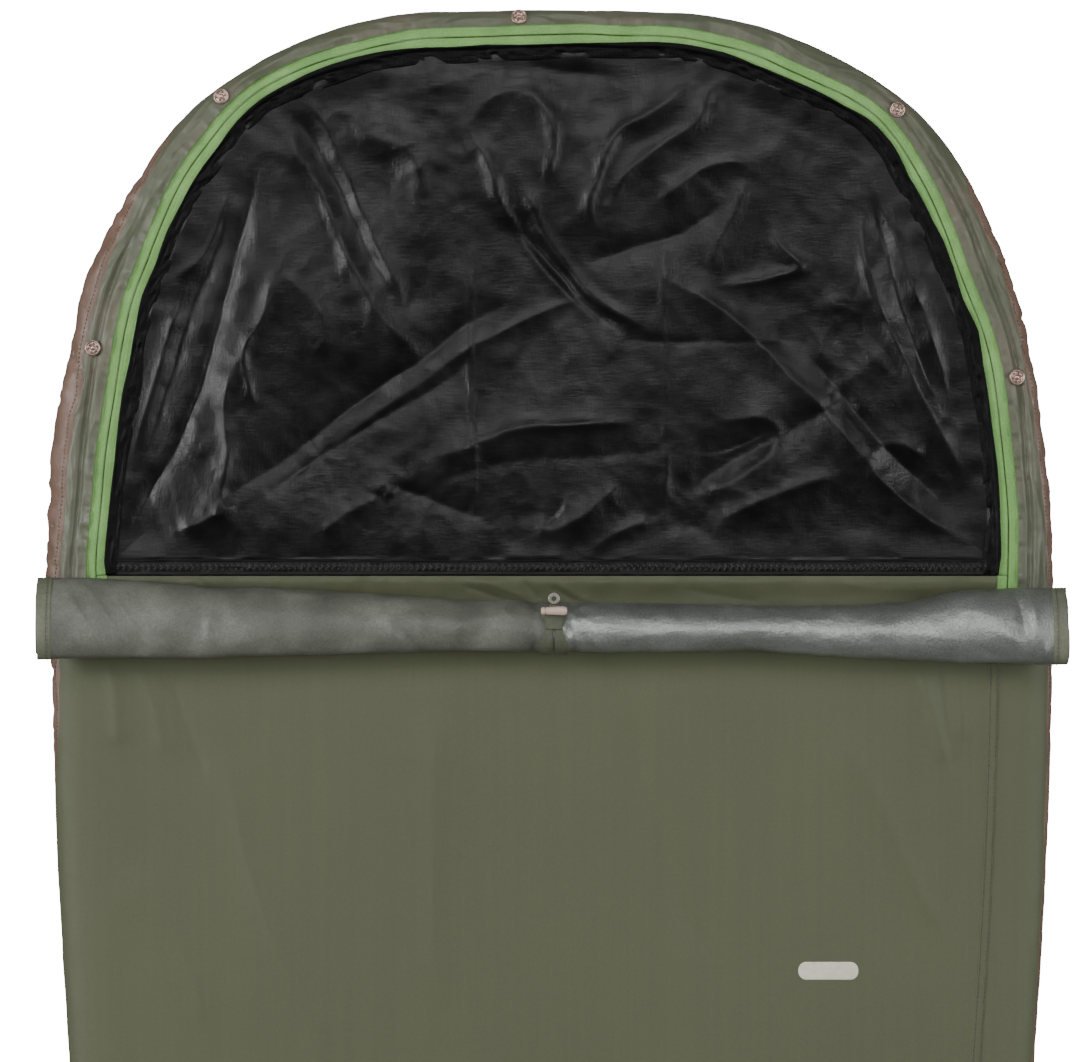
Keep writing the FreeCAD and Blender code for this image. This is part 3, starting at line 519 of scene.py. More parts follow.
def make_mesh(name, verts, faces, materials, face_material=None, smooth=True):
    """A mesh object from vertex rows and faces of three or four corners."""
    mesh = bpy.data.meshes.new(name)
    mesh.from_pydata(np.asarray(verts, float).tolist(), [], faces)
    for m in materials if isinstance(materials, (list, tuple)) else [materials]:
        mesh.materials.append(m)
    if face_material is not None:
        mesh.polygons.foreach_set("material_index", np.asarray(face_material, np.int32))
    mesh.polygons.foreach_set("use_smooth", np.full(len(mesh.polygons), smooth))
    mesh.validate()
    mesh.update()
    obj = bpy.data.objects.new(name, mesh)
    bpy.context.scene.collection.objects.link(obj)
    return obj


def grid_faces(rows, cols, wrap_rows=False, flip=False):
    """Faces of a grid of points."""
    i = np.arange(rows if wrap_rows else rows - 1)
    j = np.arange(cols - 1)
    a = (i[:, None] * cols + j[None, :]).ravel()
    down = (((i + 1) % rows)[:, None] * cols + j[None, :]).ravel()
    quads = np.stack([a, a + 1, down + 1, down], axis=1)
    return quads[:, ::-1] if flip else quads


class Builder:
    """Collects several grids and loose pieces into one mesh."""

    def __init__(self):
        self.verts, self.faces, self.mats, self.count = [], [], [], 0

    def add_faces(self, faces, mat=0):
        self.faces += faces.tolist()
        self.mats += [mat] * len(faces)

    def loose(self, verts, faces, mat=0):
        self.add_faces(np.asarray(faces) + self.count, mat)
        self.verts.append(verts)
        self.count += len(verts)

    def grid(self, points, wrap_rows=False, flip=False, mat=0):
        faces = grid_faces(*points.shape[:2], wrap_rows, flip)
        self.loose(points.reshape(-1, 3), faces, mat)

    def build(self, name, materials):
        return make_mesh(name, np.concatenate(self.verts), self.faces, materials, self.mats)


def one_grid(name, points, material, **how):
    """A piece that is a single grid of points."""
    b = Builder()
    b.grid(points, **how)
    return b.build(name, material)


def thick_grid(builder, points, thickness):
    """A grid of points as a closed sheet, with its second side pushed back along the normals."""
    normal = np.cross(np.gradient(points, axis=0), np.gradient(points, axis=1))
    normal /= np.maximum(np.linalg.norm(normal, axis=2, keepdims=True), 1e-12)
    rows, cols = points.shape[:2]
    first = builder.count
    builder.grid(points, flip=True)
    second = builder.count
    builder.grid(points - normal * thickness)
    number = np.arange(rows * cols).reshape(rows, cols)
    ring = np.concatenate([number[0], number[1:, -1], number[-1, -2::-1], number[-2:0:-1, 0]])
    after = np.roll(ring, -1)
    builder.add_faces(np.stack([first + ring, first + after, second + after, second + ring], axis=1))


def bead_unit():
    """A small elongated bead: the shape of one stitch, one unit long and one unit thick."""
    verts = []
    stations = [(-0.5, 0.15), (-0.38, 0.8), (0.0, 1.0), (0.38, 0.8), (0.5, 0.15)]
    for along, r in stations:
        for k in range(5):
            a = math.pi * k / 4.0
            verts.append((along, math.cos(a) * r * 0.5, math.sin(a) * r * 0.5))
    return np.array(verts), grid_faces(len(stations), 5)


def stitch_row(builder, path, length, gap, thickness, lean=0.0, around=False):
    """Stitches laid end to end along a 3D path. They stand up, or outwards on a path round the roll."""
    s = travel(path)
    centres = (np.arange(int(s[-1] / (length + gap))) + 0.5) * (length + gap)
    step = 0.001 if around else length * 0.5
    at, ahead = (xyz(*(np.interp(c, s, path[:, k]) for k in range(3))) for c in (centres, centres + step))
    t = unit(ahead - at)
    if around:
        out = (at - path.mean(axis=0)) * (0.0, 1.0, 1.0)
        top = unit(out - t * np.sum(out * t, axis=1, keepdims=True))
        side = np.cross(top, t)
    else:
        side = unit(np.cross((0.0, 0.0, 1.0), t))
        top = np.cross(t, side)
    along = t * math.cos(lean) + side * math.sin(lean)
    across = np.cross(top, along)
    bead, faces = bead_unit()
    b = [bead[:, k:k + 1] for k in range(3)]
    verts = at[:, None] + b[0] * along[:, None] * length
    verts = verts + (b[1] * across[:, None] + b[2] * top[:, None]) * thickness
    shift = len(bead) * np.arange(len(at))[:, None, None]
    builder.loose(verts.reshape(-1, 3), (faces + shift).reshape(-1, 4))


# ------------------------------------------------------------------ materials

def feed(mat, node, inputs):
    """Sets a node's inputs to values, or joins them to other nodes' outputs."""
    for name, value in inputs.items():
        if isinstance(value, bpy.types.NodeSocket):
            mat.node_tree.links.new(value, node.inputs[name])
        else:
            node.inputs[name].default_value = value


def add_node(mat, kind, inputs, **settings):
    node = mat.node_tree.nodes.new("ShaderNode" + kind)
    for name, value in settings.items():
        setattr(node, name, value)
    feed(mat, node, inputs)
    return node


def new_material(name):
    """A material, its shader and the object coordinates."""
    mat = bpy.data.materials.new(name)
    mat.use_nodes = True
    place = add_node(mat, "TexCoord", {}).outputs["Object"]
    return mat, mat.node_tree.nodes["Principled BSDF"], place


def cloud(mat, place, scale, detail=3.0, stretch=(1.0, 1.0, 1.0)):
    """Noise pattern that stays with the object."""
    mapped = add_node(mat, "Mapping", {"Vector": place, "Scale": stretch}).outputs["Vector"]
    inputs = {"Vector": mapped, "Scale": scale, "Detail": detail, "Roughness": 0.55}
    return add_node(mat, "TexNoise", inputs).outputs["Fac"]


def ramp(mat, source, stops):
    """Colours along a pattern."""
    node = add_node(mat, "ValToRGB", {"Fac": source})
    elements = node.color_ramp.elements
    for k in (0, -1):
        elements[k].position = stops[k][0]
        elements[k].color = (*stops[k][1], 1.0)
    for place, colour in stops[1:-1]:
        elements.new(place).color = (*colour, 1.0)
    return node.outputs["Color"]


def shades(mat, source, low, high, depth):
    """Greys a little under and over one, to multiply a colour with."""
    return ramp(mat, source, [(low, (1.0 - depth,) * 3), (high, (1.0 + depth,) * 3)])


def product(mat, a, b):
    """Two colours multiplied."""
    inputs = {"Factor": 1.0, "A": a, "B": b}
    return add_node(mat, "Mix", inputs, data_type="RGBA", blend_type="MULTIPLY").outputs["Result"]


def maths(mat, operation, a, b):
    return add_node(mat, "Math", {0: a, 1: b}, operation=operation).outputs["Value"]


def between(mat, source, low, high):
    """A pattern brought to a range."""
    inputs = {"Value": source, "From Min": 0.3, "From Max": 0.7, "To Min": low, "To Max": high}
    return add_node(mat, "MapRange", inputs).outputs["Result"]


def bump(mat, height, strength, distance, **under):
    """Surface normal roughened by a pattern, over an earlier normal if there is one."""
    inputs = {"Height": height, "Strength": strength, "Distance": distance, **under}
    return add_node(mat, "Bump", inputs).outputs["Normal"]


def scaled(colour, k):
    return tuple(c * k for c in colour)


def fabric(name, colour, second, roughness, weave=900.0, weave_depth=0.08, mottle=9.0, spread=0.16,
           rough_spread=0.08, grain=260.0, grain_depth=0.12, specular=0.5, sheen=0.0, grain_tone=0.14,
           streak=0.0, crossed=False, metallic=0.0):
    """Woven cloth: two close colours in soft patches, fine threads and a slightly uneven gloss."""
    mat, shader, place = new_material(name)
    patches = ramp(mat, cloud(mat, place, mottle, 5.0),
                   [(0.30, scaled(colour, 1.0 - spread)), (0.5, colour), (0.72, second)])
    height = cloud(mat, place, grain)
    tone = shades(mat, height, 0.3, 0.7, grain_tone)
    if streak > 0.0:
        lines = cloud(mat, place, 160.0, 2.0, stretch=(1.0, 0.02, 1.0))
        tone = product(mat, tone, shades(mat, lines, 0.35, 0.65, streak))
    wave = {"Vector": place, "Scale": weave, "Distortion": 0.6}
    warp, weft = (add_node(mat, "TexWave", wave, bands_direction=axis).outputs["Fac"] for axis in "XY")
    threads = bump(mat, maths(mat, "MULTIPLY", warp, weft), weave_depth, 0.0004)
    if crossed:
        height = maths(mat, "ADD", cloud(mat, place, grain, 2.0, stretch=(1.0, 0.22, 1.0)),
                       cloud(mat, place, grain, 2.0, stretch=(0.22, 1.0, 1.0)))
    gloss = cloud(mat, place, mottle * 3.1, 4.0)
    feed(mat, shader, {
        "Base Color": product(mat, patches, tone),
        "Roughness": between(mat, gloss, roughness - rough_spread, roughness + rough_spread),
        "Normal": bump(mat, height, grain_depth, 0.0012, Normal=threads),
        "Specular IOR Level": specular, "Metallic": metallic,
        "Sheen Weight": sheen, "Sheen Roughness": 0.4,
    })
    return mat


def hard(name, colour, metallic, roughness, spread=0.2, scale=300.0):
    """Metal or moulded plastic with light wear."""
    mat, shader, place = new_material(name)
    wear = cloud(mat, place, scale, 4.0)
    worn = [(0.3, scaled(colour, 1.0 - spread)), (0.7, scaled(colour, 1.0 + spread * 0.6))]
    feed(mat, shader, {
        "Base Color": ramp(mat, wear, worn),
        "Roughness": between(mat, wear, roughness * 0.8, roughness * 1.25),
        "Normal": bump(mat, wear, 0.1, 0.0003),
        "Metallic": metallic,
    })
    return mat


OLIVE = (0.057, 0.063, 0.0345)
M_SHELL = fabric("shell_cloth", OLIVE, scaled(OLIVE, 1.06), 0.60, mottle=2.5, spread=0.05,
                 rough_spread=0.02, specular=0.40, grain=420.0, grain_depth=0.05, grain_tone=0.05,
                 streak=0.02, sheen=0.10)
M_RIM = fabric("rim_cloth", (0.062, 0.068, 0.042), (0.082, 0.075, 0.050), 0.50, mottle=16.0, spread=0.14,
               specular=0.45, grain_tone=0.07, sheen=0.12)
M_BROWN = fabric("floor_cloth", (0.112, 0.066, 0.047), (0.134, 0.083, 0.062), 0.5, mottle=24.0, specular=0.45,
                 grain_tone=0.06, sheen=0.10)
M_INSIDE = fabric("floor_inside_cloth", (0.110, 0.104, 0.092), (0.130, 0.120, 0.106), 0.5, mottle=12.0)
M_ROLL = fabric("coated_cloth_matte", (0.068, 0.071, 0.058), (0.104, 0.109, 0.092), 0.50, weave_depth=0.03,
                mottle=22.0, spread=0.26, rough_spread=0.07, grain=560.0, grain_depth=0.22, specular=0.45,
                grain_tone=0.18)
M_ROLL_SATIN = fabric("coated_cloth_satin", (0.200, 0.213, 0.195), (0.258, 0.278, 0.258), 0.39,
                      weave_depth=0.03, mottle=22.0, spread=0.22, rough_spread=0.05, grain=560.0,
                      grain_depth=0.30, specular=1.0, grain_tone=0.18, metallic=0.75)
# Same olive as the shell cloth, a little darker: painted shade from the roll over the hem strip
M_HEM_SHADED = fabric("hem_cloth_painted_shade", scaled(OLIVE, 0.92), scaled(OLIVE, 1.06), 0.60, mottle=12.0, spread=0.08,
               specular=0.35, grain=420.0, grain_depth=0.05, grain_tone=0.05)
M_FACING = fabric("facing_cloth", (0.077, 0.083, 0.057), (0.092, 0.098, 0.068), 0.6, mottle=30.0)
M_TAPE = fabric("zip_tape_cloth", (0.128, 0.262, 0.076), (0.158, 0.305, 0.096), 0.6, weave=700.0,
                weave_depth=0.25, mottle=40.0, spread=0.12, grain=700.0, grain_depth=0.2, specular=0.30)
M_TAPE_EDGE = fabric("zip_edge_cloth", (0.140, 0.280, 0.086), (0.160, 0.305, 0.098), 0.6, mottle=60.0,
                     specular=0.30)
M_COIL = fabric("zip_coil_nylon", (0.050, 0.100, 0.038), (0.060, 0.115, 0.045), 0.4, mottle=80.0)
M_NET = fabric("net_cloth", (0.0014, 0.0014, 0.00145), (0.0036, 0.0036, 0.0037), 0.37, weave=650.0,
               weave_depth=0.12, mottle=16.0, spread=0.3, rough_spread=0.07, grain=460.0, grain_depth=0.16,
               specular=0.30, crossed=True)
M_BIND = fabric("binding_cloth", (0.0030, 0.0030, 0.0032), (0.0060, 0.0060, 0.0064), 0.50, mottle=50.0,
                grain=600.0, grain_depth=0.3, specular=0.20)
M_ARCH = fabric("arch_binding_black", (0.0010, 0.0010, 0.0011), (0.0022, 0.0022, 0.0024), 0.52, mottle=50.0,
                grain=600.0, grain_depth=0.3, specular=0.12)
M_ARCH_THREAD = fabric("arch_thread", (0.006, 0.006, 0.006), (0.012, 0.012, 0.012), 0.5, mottle=200.0,
                       specular=0.2)
M_THREAD = fabric("thread", (0.075, 0.079, 0.052), (0.095, 0.098, 0.068), 0.5, mottle=200.0)
M_DARK_THREAD = fabric("dark_thread", (0.030, 0.034, 0.022), (0.040, 0.044, 0.030), 0.5, mottle=200.0)
M_BLACK_THREAD = fabric("black_thread", (0.030, 0.030, 0.030), (0.055, 0.055, 0.055), 0.40, mottle=200.0,
                        specular=0.3)
M_WEBBING = fabric("webbing_cloth", (0.050, 0.056, 0.034), (0.066, 0.072, 0.046), 0.6, weave=500.0,
                   weave_depth=0.4, mottle=60.0)
M_SEAM_TAPE = fabric("seam_tape_film", (0.18, 0.18, 0.17), (0.22, 0.22, 0.21), 0.35, mottle=30.0)
M_PATCH = fabric("patch_print", (0.46, 0.43, 0.36), (0.50, 0.47, 0.40), 0.45, mottle=90.0, spread=0.08,
                 grain_tone=0.06)
M_STUD = hard("stud_metal", (0.42, 0.30, 0.25), 0.85, 0.36, scale=900.0)
# dark metal for the stud windows: painted shade in the openings
M_STUD_WINDOW_SHADE = hard("stud_window_painted_shade", (0.10, 0.07, 0.06), 0.6, 0.5)
M_EYE = hard("eye_metal", (0.50, 0.46, 0.42), 0.9, 0.32, scale=900.0)
M_TOGGLE = hard("toggle_plastic", (0.36, 0.27, 0.22), 0.0, 0.38, spread=0.12, scale=500.0)
M_SLIDER = hard("slider_paint", (0.075, 0.080, 0.055), 0.3, 0.45, spread=0.15, scale=700.0)


# ------------------------------------------------------------------ shell

def over_edge(v, flat, width, phi_end):
    """Distance along, inset and height of fabric that runs flat and then round the bag's edge."""
    round_length = width * np.minimum(phi_end, 2.2) * 0.9
    along = v * (flat + round_length)
    phi = np.clip((along - flat) / round_length, 0.0, 1.0) * phi_end
    d, z = edge_profile(phi, width)
    return along, np.where(along < flat, width + (flat - along), d), z


def make_rim():
    """Olive fabric from the zip's outer tape over the bag's edge to the brown seam."""
    to_edge = np.full(len(ZIP_P), 0.03)
    for _ in range(7):
        d, index = inset_of(*(ZIP_P + ZIP_N * to_edge[:, None]).T)
        to_edge = to_edge + d
    to_edge = to_edge[:, None]
    width = EDGE_W[index][:, None]
    inner = ZIP_BAND_HALF - 0.0007
    v = np.linspace(0.0, 1.0, 26)[None, :]
    flat = np.maximum(to_edge - inner - width, 0.0)
    along, d, z = over_edge(v, flat, width, seam_phi(BROWN[index], EDGE_W[index])[:, None])
    reach = np.where(along < flat, inner + along, to_edge - d)
    start = reach[:, :1]
    reach = inner + (reach - start) * (to_edge - inner) / (to_edge - start)
    from_tape = reach - inner
    s, px, py = ZIP_S[:, None], ZIP_P[:, 0:1], ZIP_P[:, 1:2]
    left = smoothstep(-0.05, -0.25, px) * smoothstep(0.98, 0.90, py)
    right = smoothstep(0.05, 0.30, px) * smoothstep(1.10, 1.0, py)
    head = smoothstep(0.95, 1.05, py)
    # folded edge over the tape, and short puckers that die out away from it
    z = z + 0.0009 * np.exp(-from_tape / 0.0022)
    pucker = noise(s * 95.0, from_tape * 40.0, 21) + 0.6 * noise(s * 210.0, from_tape * 60.0, 22)
    z = z + 0.0013 * pucker * np.exp(-from_tape / 0.012)
    # long soft fold beside the tape
    place = from_tape - 0.0115 - 0.002 * noise(s * 9.0, s * 0, 23)
    crest, valley = np.exp(-((place - 0.0060) / 0.0040) ** 2), np.exp(-(place / 0.0026) ** 2)
    z = z + (left * 0.9 + right) * (0.0018 * crest - 0.0034 * valley)
    # lengthwise wrinkles, strongest where the rim is narrow, and crumples
    lines = ridged(s * 13.0, from_tape * 95.0 + 0.8 * noise(s * 20.0, s * 0, 24), 25) - 0.45
    narrow = 0.45 + 0.55 * np.maximum(head, 0.4 * left)
    z = z + narrow * 0.0030 * lines * smoothstep(0.0, 0.008, from_tape)
    z = z + 0.0018 * fbm(s * 26.0, from_tape * 60.0, 26, 3) * smoothstep(0.0, 0.006, from_tape)
    push = 0.0018 * fbm(s * 20.0, v * 2.0, 27, 3) * smoothstep(0.3, 1.0, v)
    return one_grid("rim_fabric", xyz(*beside(ZIP_P, ZIP_N, reach + push), z), M_RIM, flip=True)


def band_along_edge(index, inner_inset, cols=18):
    """Strip of the lid that follows the outline, from an inset on the flat to the brown seam."""
    P, N, width = BAG_P[index], BAG_N[index], EDGE_W[index]
    v = np.linspace(0.0, 1.0, cols)[None, :]
    flat = np.maximum(inner_inset - width, 0.0)[:, None]
    _, d, z = over_edge(v, flat, width[:, None], seam_phi(BROWN[index], width)[:, None])
    x, y = beside(P, N, -d)
    s = BAG_S[index][:, None]
    near_edge = smoothstep(0.03, 0.006, d)
    z = z + smoothstep(0.004, 0.06, d) * slack_height(x, y)
    z = z + near_edge * 0.0007 * fbm(s * 30.0, d * 50.0, 28, 3)
    return xyz(*beside(P, N, 0.0009 * near_edge * fbm(s * 18.0, v * 1.5, 29, 3) - d), z)


def offset_line(side, inset, y):
    """Where a line at an inset from the outline lies on one side, at heights on the bag."""
    line = (BAG_P - BAG_N * inset)[BAG_P[:, 0] * side > 0.0]
    line = line[(line[:, 0] * side > 0.0) & (line[:, 1] < 0.75)]
    line = line[np.argsort(line[:, 1], kind="stable")]
    return np.interp(y, line[:, 1], line[:, 0])


def seam_line_x(y):
    """Where the gusset seam lies, at heights on the bag."""
    x, middle_y, radius, first_deg, _ = bag_arcs()[1]
    bend_x, bend_y = on_arc((x, middle_y, radius), first_deg, -SEAM_INSET)
    on_circle = x + np.sqrt(np.maximum((radius - SEAM_INSET) ** 2 - (y - middle_y) ** 2, 0.0))
    straight = bend_x - (bend_y - y) * math.tan(math.radians(SIDE_TAPER_DEG))
    return np.where(y > bend_y, on_circle, straight)


def row_heights(low, high):
    """Heights of the grid rows: close together at the foot's end and near the roll, where creases show."""
    foot = low + 0.06 * (1.0 - np.cos(np.linspace(0, math.pi / 2, 22)))
    middle = np.arange(low + 0.06, 0.10, 0.0065)
    return np.concatenate([foot[:-1], middle, np.linspace(0.10, high, 170)[1:]])


def zip_half_width(y):
    """Half the distance between the zip's two slits, beside the hem of the door."""
    return np.interp(y, [0.5994, ZIP_WIDEST_Y], [0.3979, ZIP_HALF_WIDTH])


def make_hem_strip():
    """The lid between the zips, from under the roll to the door's hem."""
    y = np.linspace(0.598, HINGE_Y - 0.0003, 34)[:, None]
    x = (zip_half_width(y) - ZIP_BAND_HALF + 0.0006) * np.linspace(-1.0, 1.0, 420)[None, :]
    x, y = np.broadcast_arrays(x, y)
    from_hem = HINGE_Y - y
    gather = noise(x * 60.0, y * 8.0, 31) + 0.5 * noise(x * 140.0, y * 10.0, 32)
    z = lid_height(x, y) - 0.0014 * smoothstep(0.006, 0.0, from_hem)
    z = z + 0.0013 * gather * smoothstep(0.0, 0.006, from_hem) * np.exp(-from_hem / 0.022)
    z = z - 0.0050 * smoothstep(0.003, 0.022, from_hem)
    z = z + 0.0010 * fbm(x * 30.0, y * 40.0, 33, 3) * smoothstep(0.0, 0.008, from_hem)
    return xyz(x, y, z + fold_field(x, y, HEM_FOLDS))


def make_top():
    """Main top panel: hem strip, the wide flat field and the rounded edges; and the side gusset."""
    b = Builder()
    y = row_heights(-LENGTH / 2 + 0.0441, 0.600)[:, None]
    left = offset_line(-1, 0.044, y)
    right = np.minimum(offset_line(1, 0.044, y), seam_line_x(y) - 0.0035)
    u = np.linspace(0.0, 1.0, 300)[None, :]
    x, y = np.broadcast_arrays(left * (1 - u) + right * u, y)
    b.grid(xyz(x, y, lid_height(x, y)))
    # the hem strip takes the darker hem cloth, painted shade under the roll
    b.grid(make_hem_strip(), mat=1)
    order = np.arange(len(BAG_P))
    corner_y = -1.13
    corner = int(np.argmin(np.hypot(BAG_P[:, 0] - seam_line_x(corner_y), BAG_P[:, 1] - corner_y)))
    below_roll = BAG_P[:, 1] < 0.602
    left_side = order[(BAG_P[:, 0] < 0) & below_roll]
    b.grid(band_along_edge(np.concatenate([left_side, order[:corner + 3]]), 0.045), flip=True)
    top = b.build("top_fabric", [M_SHELL, M_HEM_SHADED])

    index = order[(BAG_P[:, 0] > 0) & below_roll & (order >= corner)]
    reach = np.full(len(index), SEAM_INSET - 0.0035)
    for _ in range(6):
        x, y = (BAG_P[index] - BAG_N[index] * reach[:, None]).T
        reach = reach + (x - seam_line_x(y) - 0.0035) * 0.9
    band = band_along_edge(index, np.clip(reach, 0.004, SEAM_INSET), cols=26)
    return top, one_grid("gusset_fabric", band, M_SHELL, flip=True)


def make_gusset_seam():
    """Felled seam: a low folded strip with a row of stitches along each side."""
    ys = np.arange(0.598, -1.127, -0.0035)
    line = np.stack([seam_line_x(ys), ys], axis=1)
    tangent = unit(np.gradient(line, axis=0))
    across = np.stack([-tangent[:, 1], tangent[:, 0]], axis=1)
    t = np.array([-4.6, -4.2, -3.7, -3.0, -1.5, 0.0, 1.5, 3.0, 3.7, 4.2, 4.6]) * MM
    lift = np.array([-0.2, 0.35, 0.75, 0.95, 0.85, 0.8, 0.85, 0.95, 0.75, 0.35, -0.2]) * MM
    x, y = beside(line, across, t)
    ripple = 0.00035 * noise(ys[:, None] * 120.0, t * 900.0, 41)
    points = xyz(x, y, lid_height(x, y) + lift + ripple)
    strip = one_grid("gusset_seam_strip", points, M_SHELL)
    rows = Builder()
    for column in (3, 7):
        stitch_row(rows, points[:, column] + (0.0, 0.0, 0.0001), 0.0030, 0.0010, 0.0009)
    return strip, rows.build("gusset_seam_stitches", M_DARK_THREAD)


def make_tub():
    """Brown floor fabric: turned-up edge with cross wrinkles, the underside and the inside."""
    width = EDGE_W[:, None]
    cols, under_cols = 22, 13
    v = np.linspace(0.0, 1.0, cols)[None, :]
    tuck = np.maximum(seam_phi(BROWN, EDGE_W)[:, None] - 0.10, 0.05)
    phi = tuck + (math.pi - tuck) * v
    d, z = edge_profile(phi, width)
    shown = smoothstep(0.002, 0.010, BROWN)[:, None]
    s = BAG_S[:, None]
    outer = smoothstep(0.0, 0.12, v) * smoothstep(1.0, 0.75, v)
    wrinkle = noise(s * 58.0 + 1.5 * noise(s * 9.0, v * 2.0, 53), v * 1.6, 51)
    wrinkle = wrinkle + 0.6 * noise(s * 150.0, v * 2.5, 52) + 0.8 * fbm(s * 26.0, v * 2.0, 54, 3)
    crests = ridged(s * 44.0 + 0.8 * noise(s * 16.0, v * 3.0, 57), v * 1.3, 58, 2)
    tucks = np.clip((crests - 0.58) / 0.34, 0.0, 1.0)
    push = (0.0003 + 0.0010 * shown) * wrinkle * outer - 0.0026 * shown * tucks * outer
    # the start lies tucked just under the olive fabric, then rolls over the seam
    push = push - 0.0009 * smoothstep(0.14, 0.0, v) + 0.0007 * np.exp(-((v - 0.10) / 0.035) ** 2) * shown
    x, y = beside(BAG_P, BAG_N, push * np.sin(phi) - d)
    z = np.maximum(z + push * np.cos(phi), 0.0)
    # the underside runs in to a line down the middle
    k = np.linspace(0.0, 1.0, under_cols + 1)[None, 1:]
    spine_y = np.clip(BAG_P[:, 1:2], -0.95, 0.80)
    under = xyz(x[:, -1:] * (1 - k), y[:, -1:] * (1 - k) + spine_y * k, 0.0)
    edge = xyz(x, y, z)
    whole = np.concatenate([edge, under], axis=1)
    b = Builder()
    b.grid(whole, wrap_rows=True, flip=True)
    # the inside lies just over it, with soft rises
    side_cols = cols - cols // 2
    cloth = 0.0012
    inner = whole[:, cols // 2:].copy()
    inner[:, :side_cols, :2] -= BAG_N[:, None] * cloth
    inner[:, :, 2] += np.concatenate([np.linspace(0, cloth, side_cols), np.full(under_cols, cloth)])
    middle = np.concatenate([np.zeros(side_cols), np.linspace(0, 1, under_cols)])
    swell = np.clip(fbm(inner[:, :, 0] * 7.0, inner[:, :, 1] * 5.0, 56, 4) + 0.25, 0.0, 1.0)
    inner[:, :, 2] += 0.0035 * swell * smoothstep(0.0, 0.2, middle)
    b.grid(inner, wrap_rows=True, mat=1)
    tub = b.build("tub_fabric", [M_BROWN, M_INSIDE])

    rows = Builder()
    seen = np.where(BROWN > 0.0025)[0]
    for group in np.split(seen, np.where(np.diff(seen) > 1)[0] + 1):
        if len(group) > 8:
            stitch_row(rows, edge[group, 2] + (0.0, 0.0, 0.0007), 0.0026, 0.0012, 0.0007)
    return tub, rows.build("tub_seam_stitches", M_THREAD)


# ------------------------------------------------------------------ zip

def zip_run(start, end):
    """Points, normals and distances of a stretch of the zip's line."""
    s = np.linspace(start, end, max(4, int((end - start) / ZIP_STEP)))
    P, N = (np.stack([np.interp(s, ZIP_S, line[:, k]) for k in (0, 1)], axis=1) for line in (ZIP_P, ZIP_N))
    return P, N / np.linalg.norm(N, axis=1, keepdims=True), s


def zip_place(y):
    """Distances along the zip at which it passes a height, on the right and on the left."""
    half = len(ZIP_P) // 2
    right = float(np.interp(y, ZIP_P[:half, 1], ZIP_S[:half]))
    return right, ZIP_S[-1] - right


def tape_points(side, run):
    """One half of the zip's tape, outside the slit or inside it, swept along the zip."""
    low, high = sorted((side * ZIP_GAP_HALF, side * ZIP_BAND_HALF))
    t = np.linspace(low, high, TAPE_COLUMNS)[None, :]
    P, N, s = run
    s = s[:, None]
    gap = np.abs(t) - ZIP_GAP_HALF
    z = TAPE_Z - 0.0015 + 0.0004 * np.exp(-((gap - 0.0012) / 0.0011) ** 2) - 0.0007 * np.exp(-gap / 0.00035)
    if side < 0:
        selvedge = np.abs(np.abs(t) - ZIP_BAND_HALF) - 0.0007
        z = z + 0.0004 * np.exp(-(selvedge / 0.0006) ** 2)
    z = z + 0.00018 * noise(s * 420.0, t * 500.0, 61) + 0.0003 * noise(s * 24.0, t * 60.0, 62)
    z = z + 0.00018 * np.sin((gap - 0.004) * 2800.0) * smoothstep(0.0035, 0.005, gap)
    return xyz(*beside(P, N, t), z)


def make_zip():
    """Green tapes of both zip halves, their stitching, and the two tails under the roll."""
    right, left = zip_place(HINGE_Y)
    whole = zip_run(0.0, ZIP_S[-1])
    door = zip_run(right + 0.0002, left - 0.0002)
    tail_runs = [zip_run(0.0, right - 0.0001), zip_run(left + 0.0001, ZIP_S[-1])]
    pieces = []
    for name, side, runs in (("zip_outer_tape_cloth", 1, [whole]), ("zip_inner_tape_cloth", -1, [door]),
                             ("zip_tail_cloth", -1, tail_runs)):
        b = Builder()
        for run in runs:
            thick_grid(b, tape_points(side, run), TAPE_CLOTH)
        pieces.append(b.build(name, M_TAPE))
    for name, run, offset in (("zip_outer_stitches", whole, 0.0062), ("zip_inner_stitches", door, -0.0066)):
        b = Builder()
        path = (run[0] + run[1] * offset).T
        stitch_row(b, xyz(*path, TAPE_Z - 0.0006), 0.0026, 0.0011, 0.00035)
        pieces.append(b.build(name, M_TAPE_EDGE))
    return pieces


# ------------------------------------------------------------------ net door

def net_height(x, y):
    """Height of the slack net: listed folds over a fine crumple."""
    wx = x + 0.010 * noise(x * 9.0, y * 9.0, 81)
    wy = y + 0.010 * noise(x * 9.0, y * 9.0, 82)
    vx = x + 0.006 * noise(x * 30.0, y * 30.0, 88)
    vy = y + 0.006 * noise(x * 30.0, y * 30.0, 89)
    busy = smoothstep(-0.35, 0.35, fbm(x * 7.0, y * 7.0, 87, 2))
    z = fold_field(x, y, NET_FOLDS)
    z = z + 0.0044 * fbm(wx * 11.0, wy * 9.0, 83, 4)
    z = z + 0.0026 * (ridged(wx * 10.0 + wy * 3.0, wy * 8.0, 84) - 0.45)
    z = z + 0.0015 * busy * (ridged(vx * 24.0 + vy * 6.0, vy * 19.0, 90) - 0.45)
    z = z + 0.0005 * busy * (ridged(vx * 62.0, vy * 50.0, 95) - 0.45)
    return z + 0.0004 * fbm(wx * 70.0, wy * 60.0, 85, 3)


def gathers(pattern, d, fade):
    """Small tucks beside a binding, none at its very edge."""
    return pattern * smoothstep(0.0, 0.004, d) * np.exp(-d / fade)


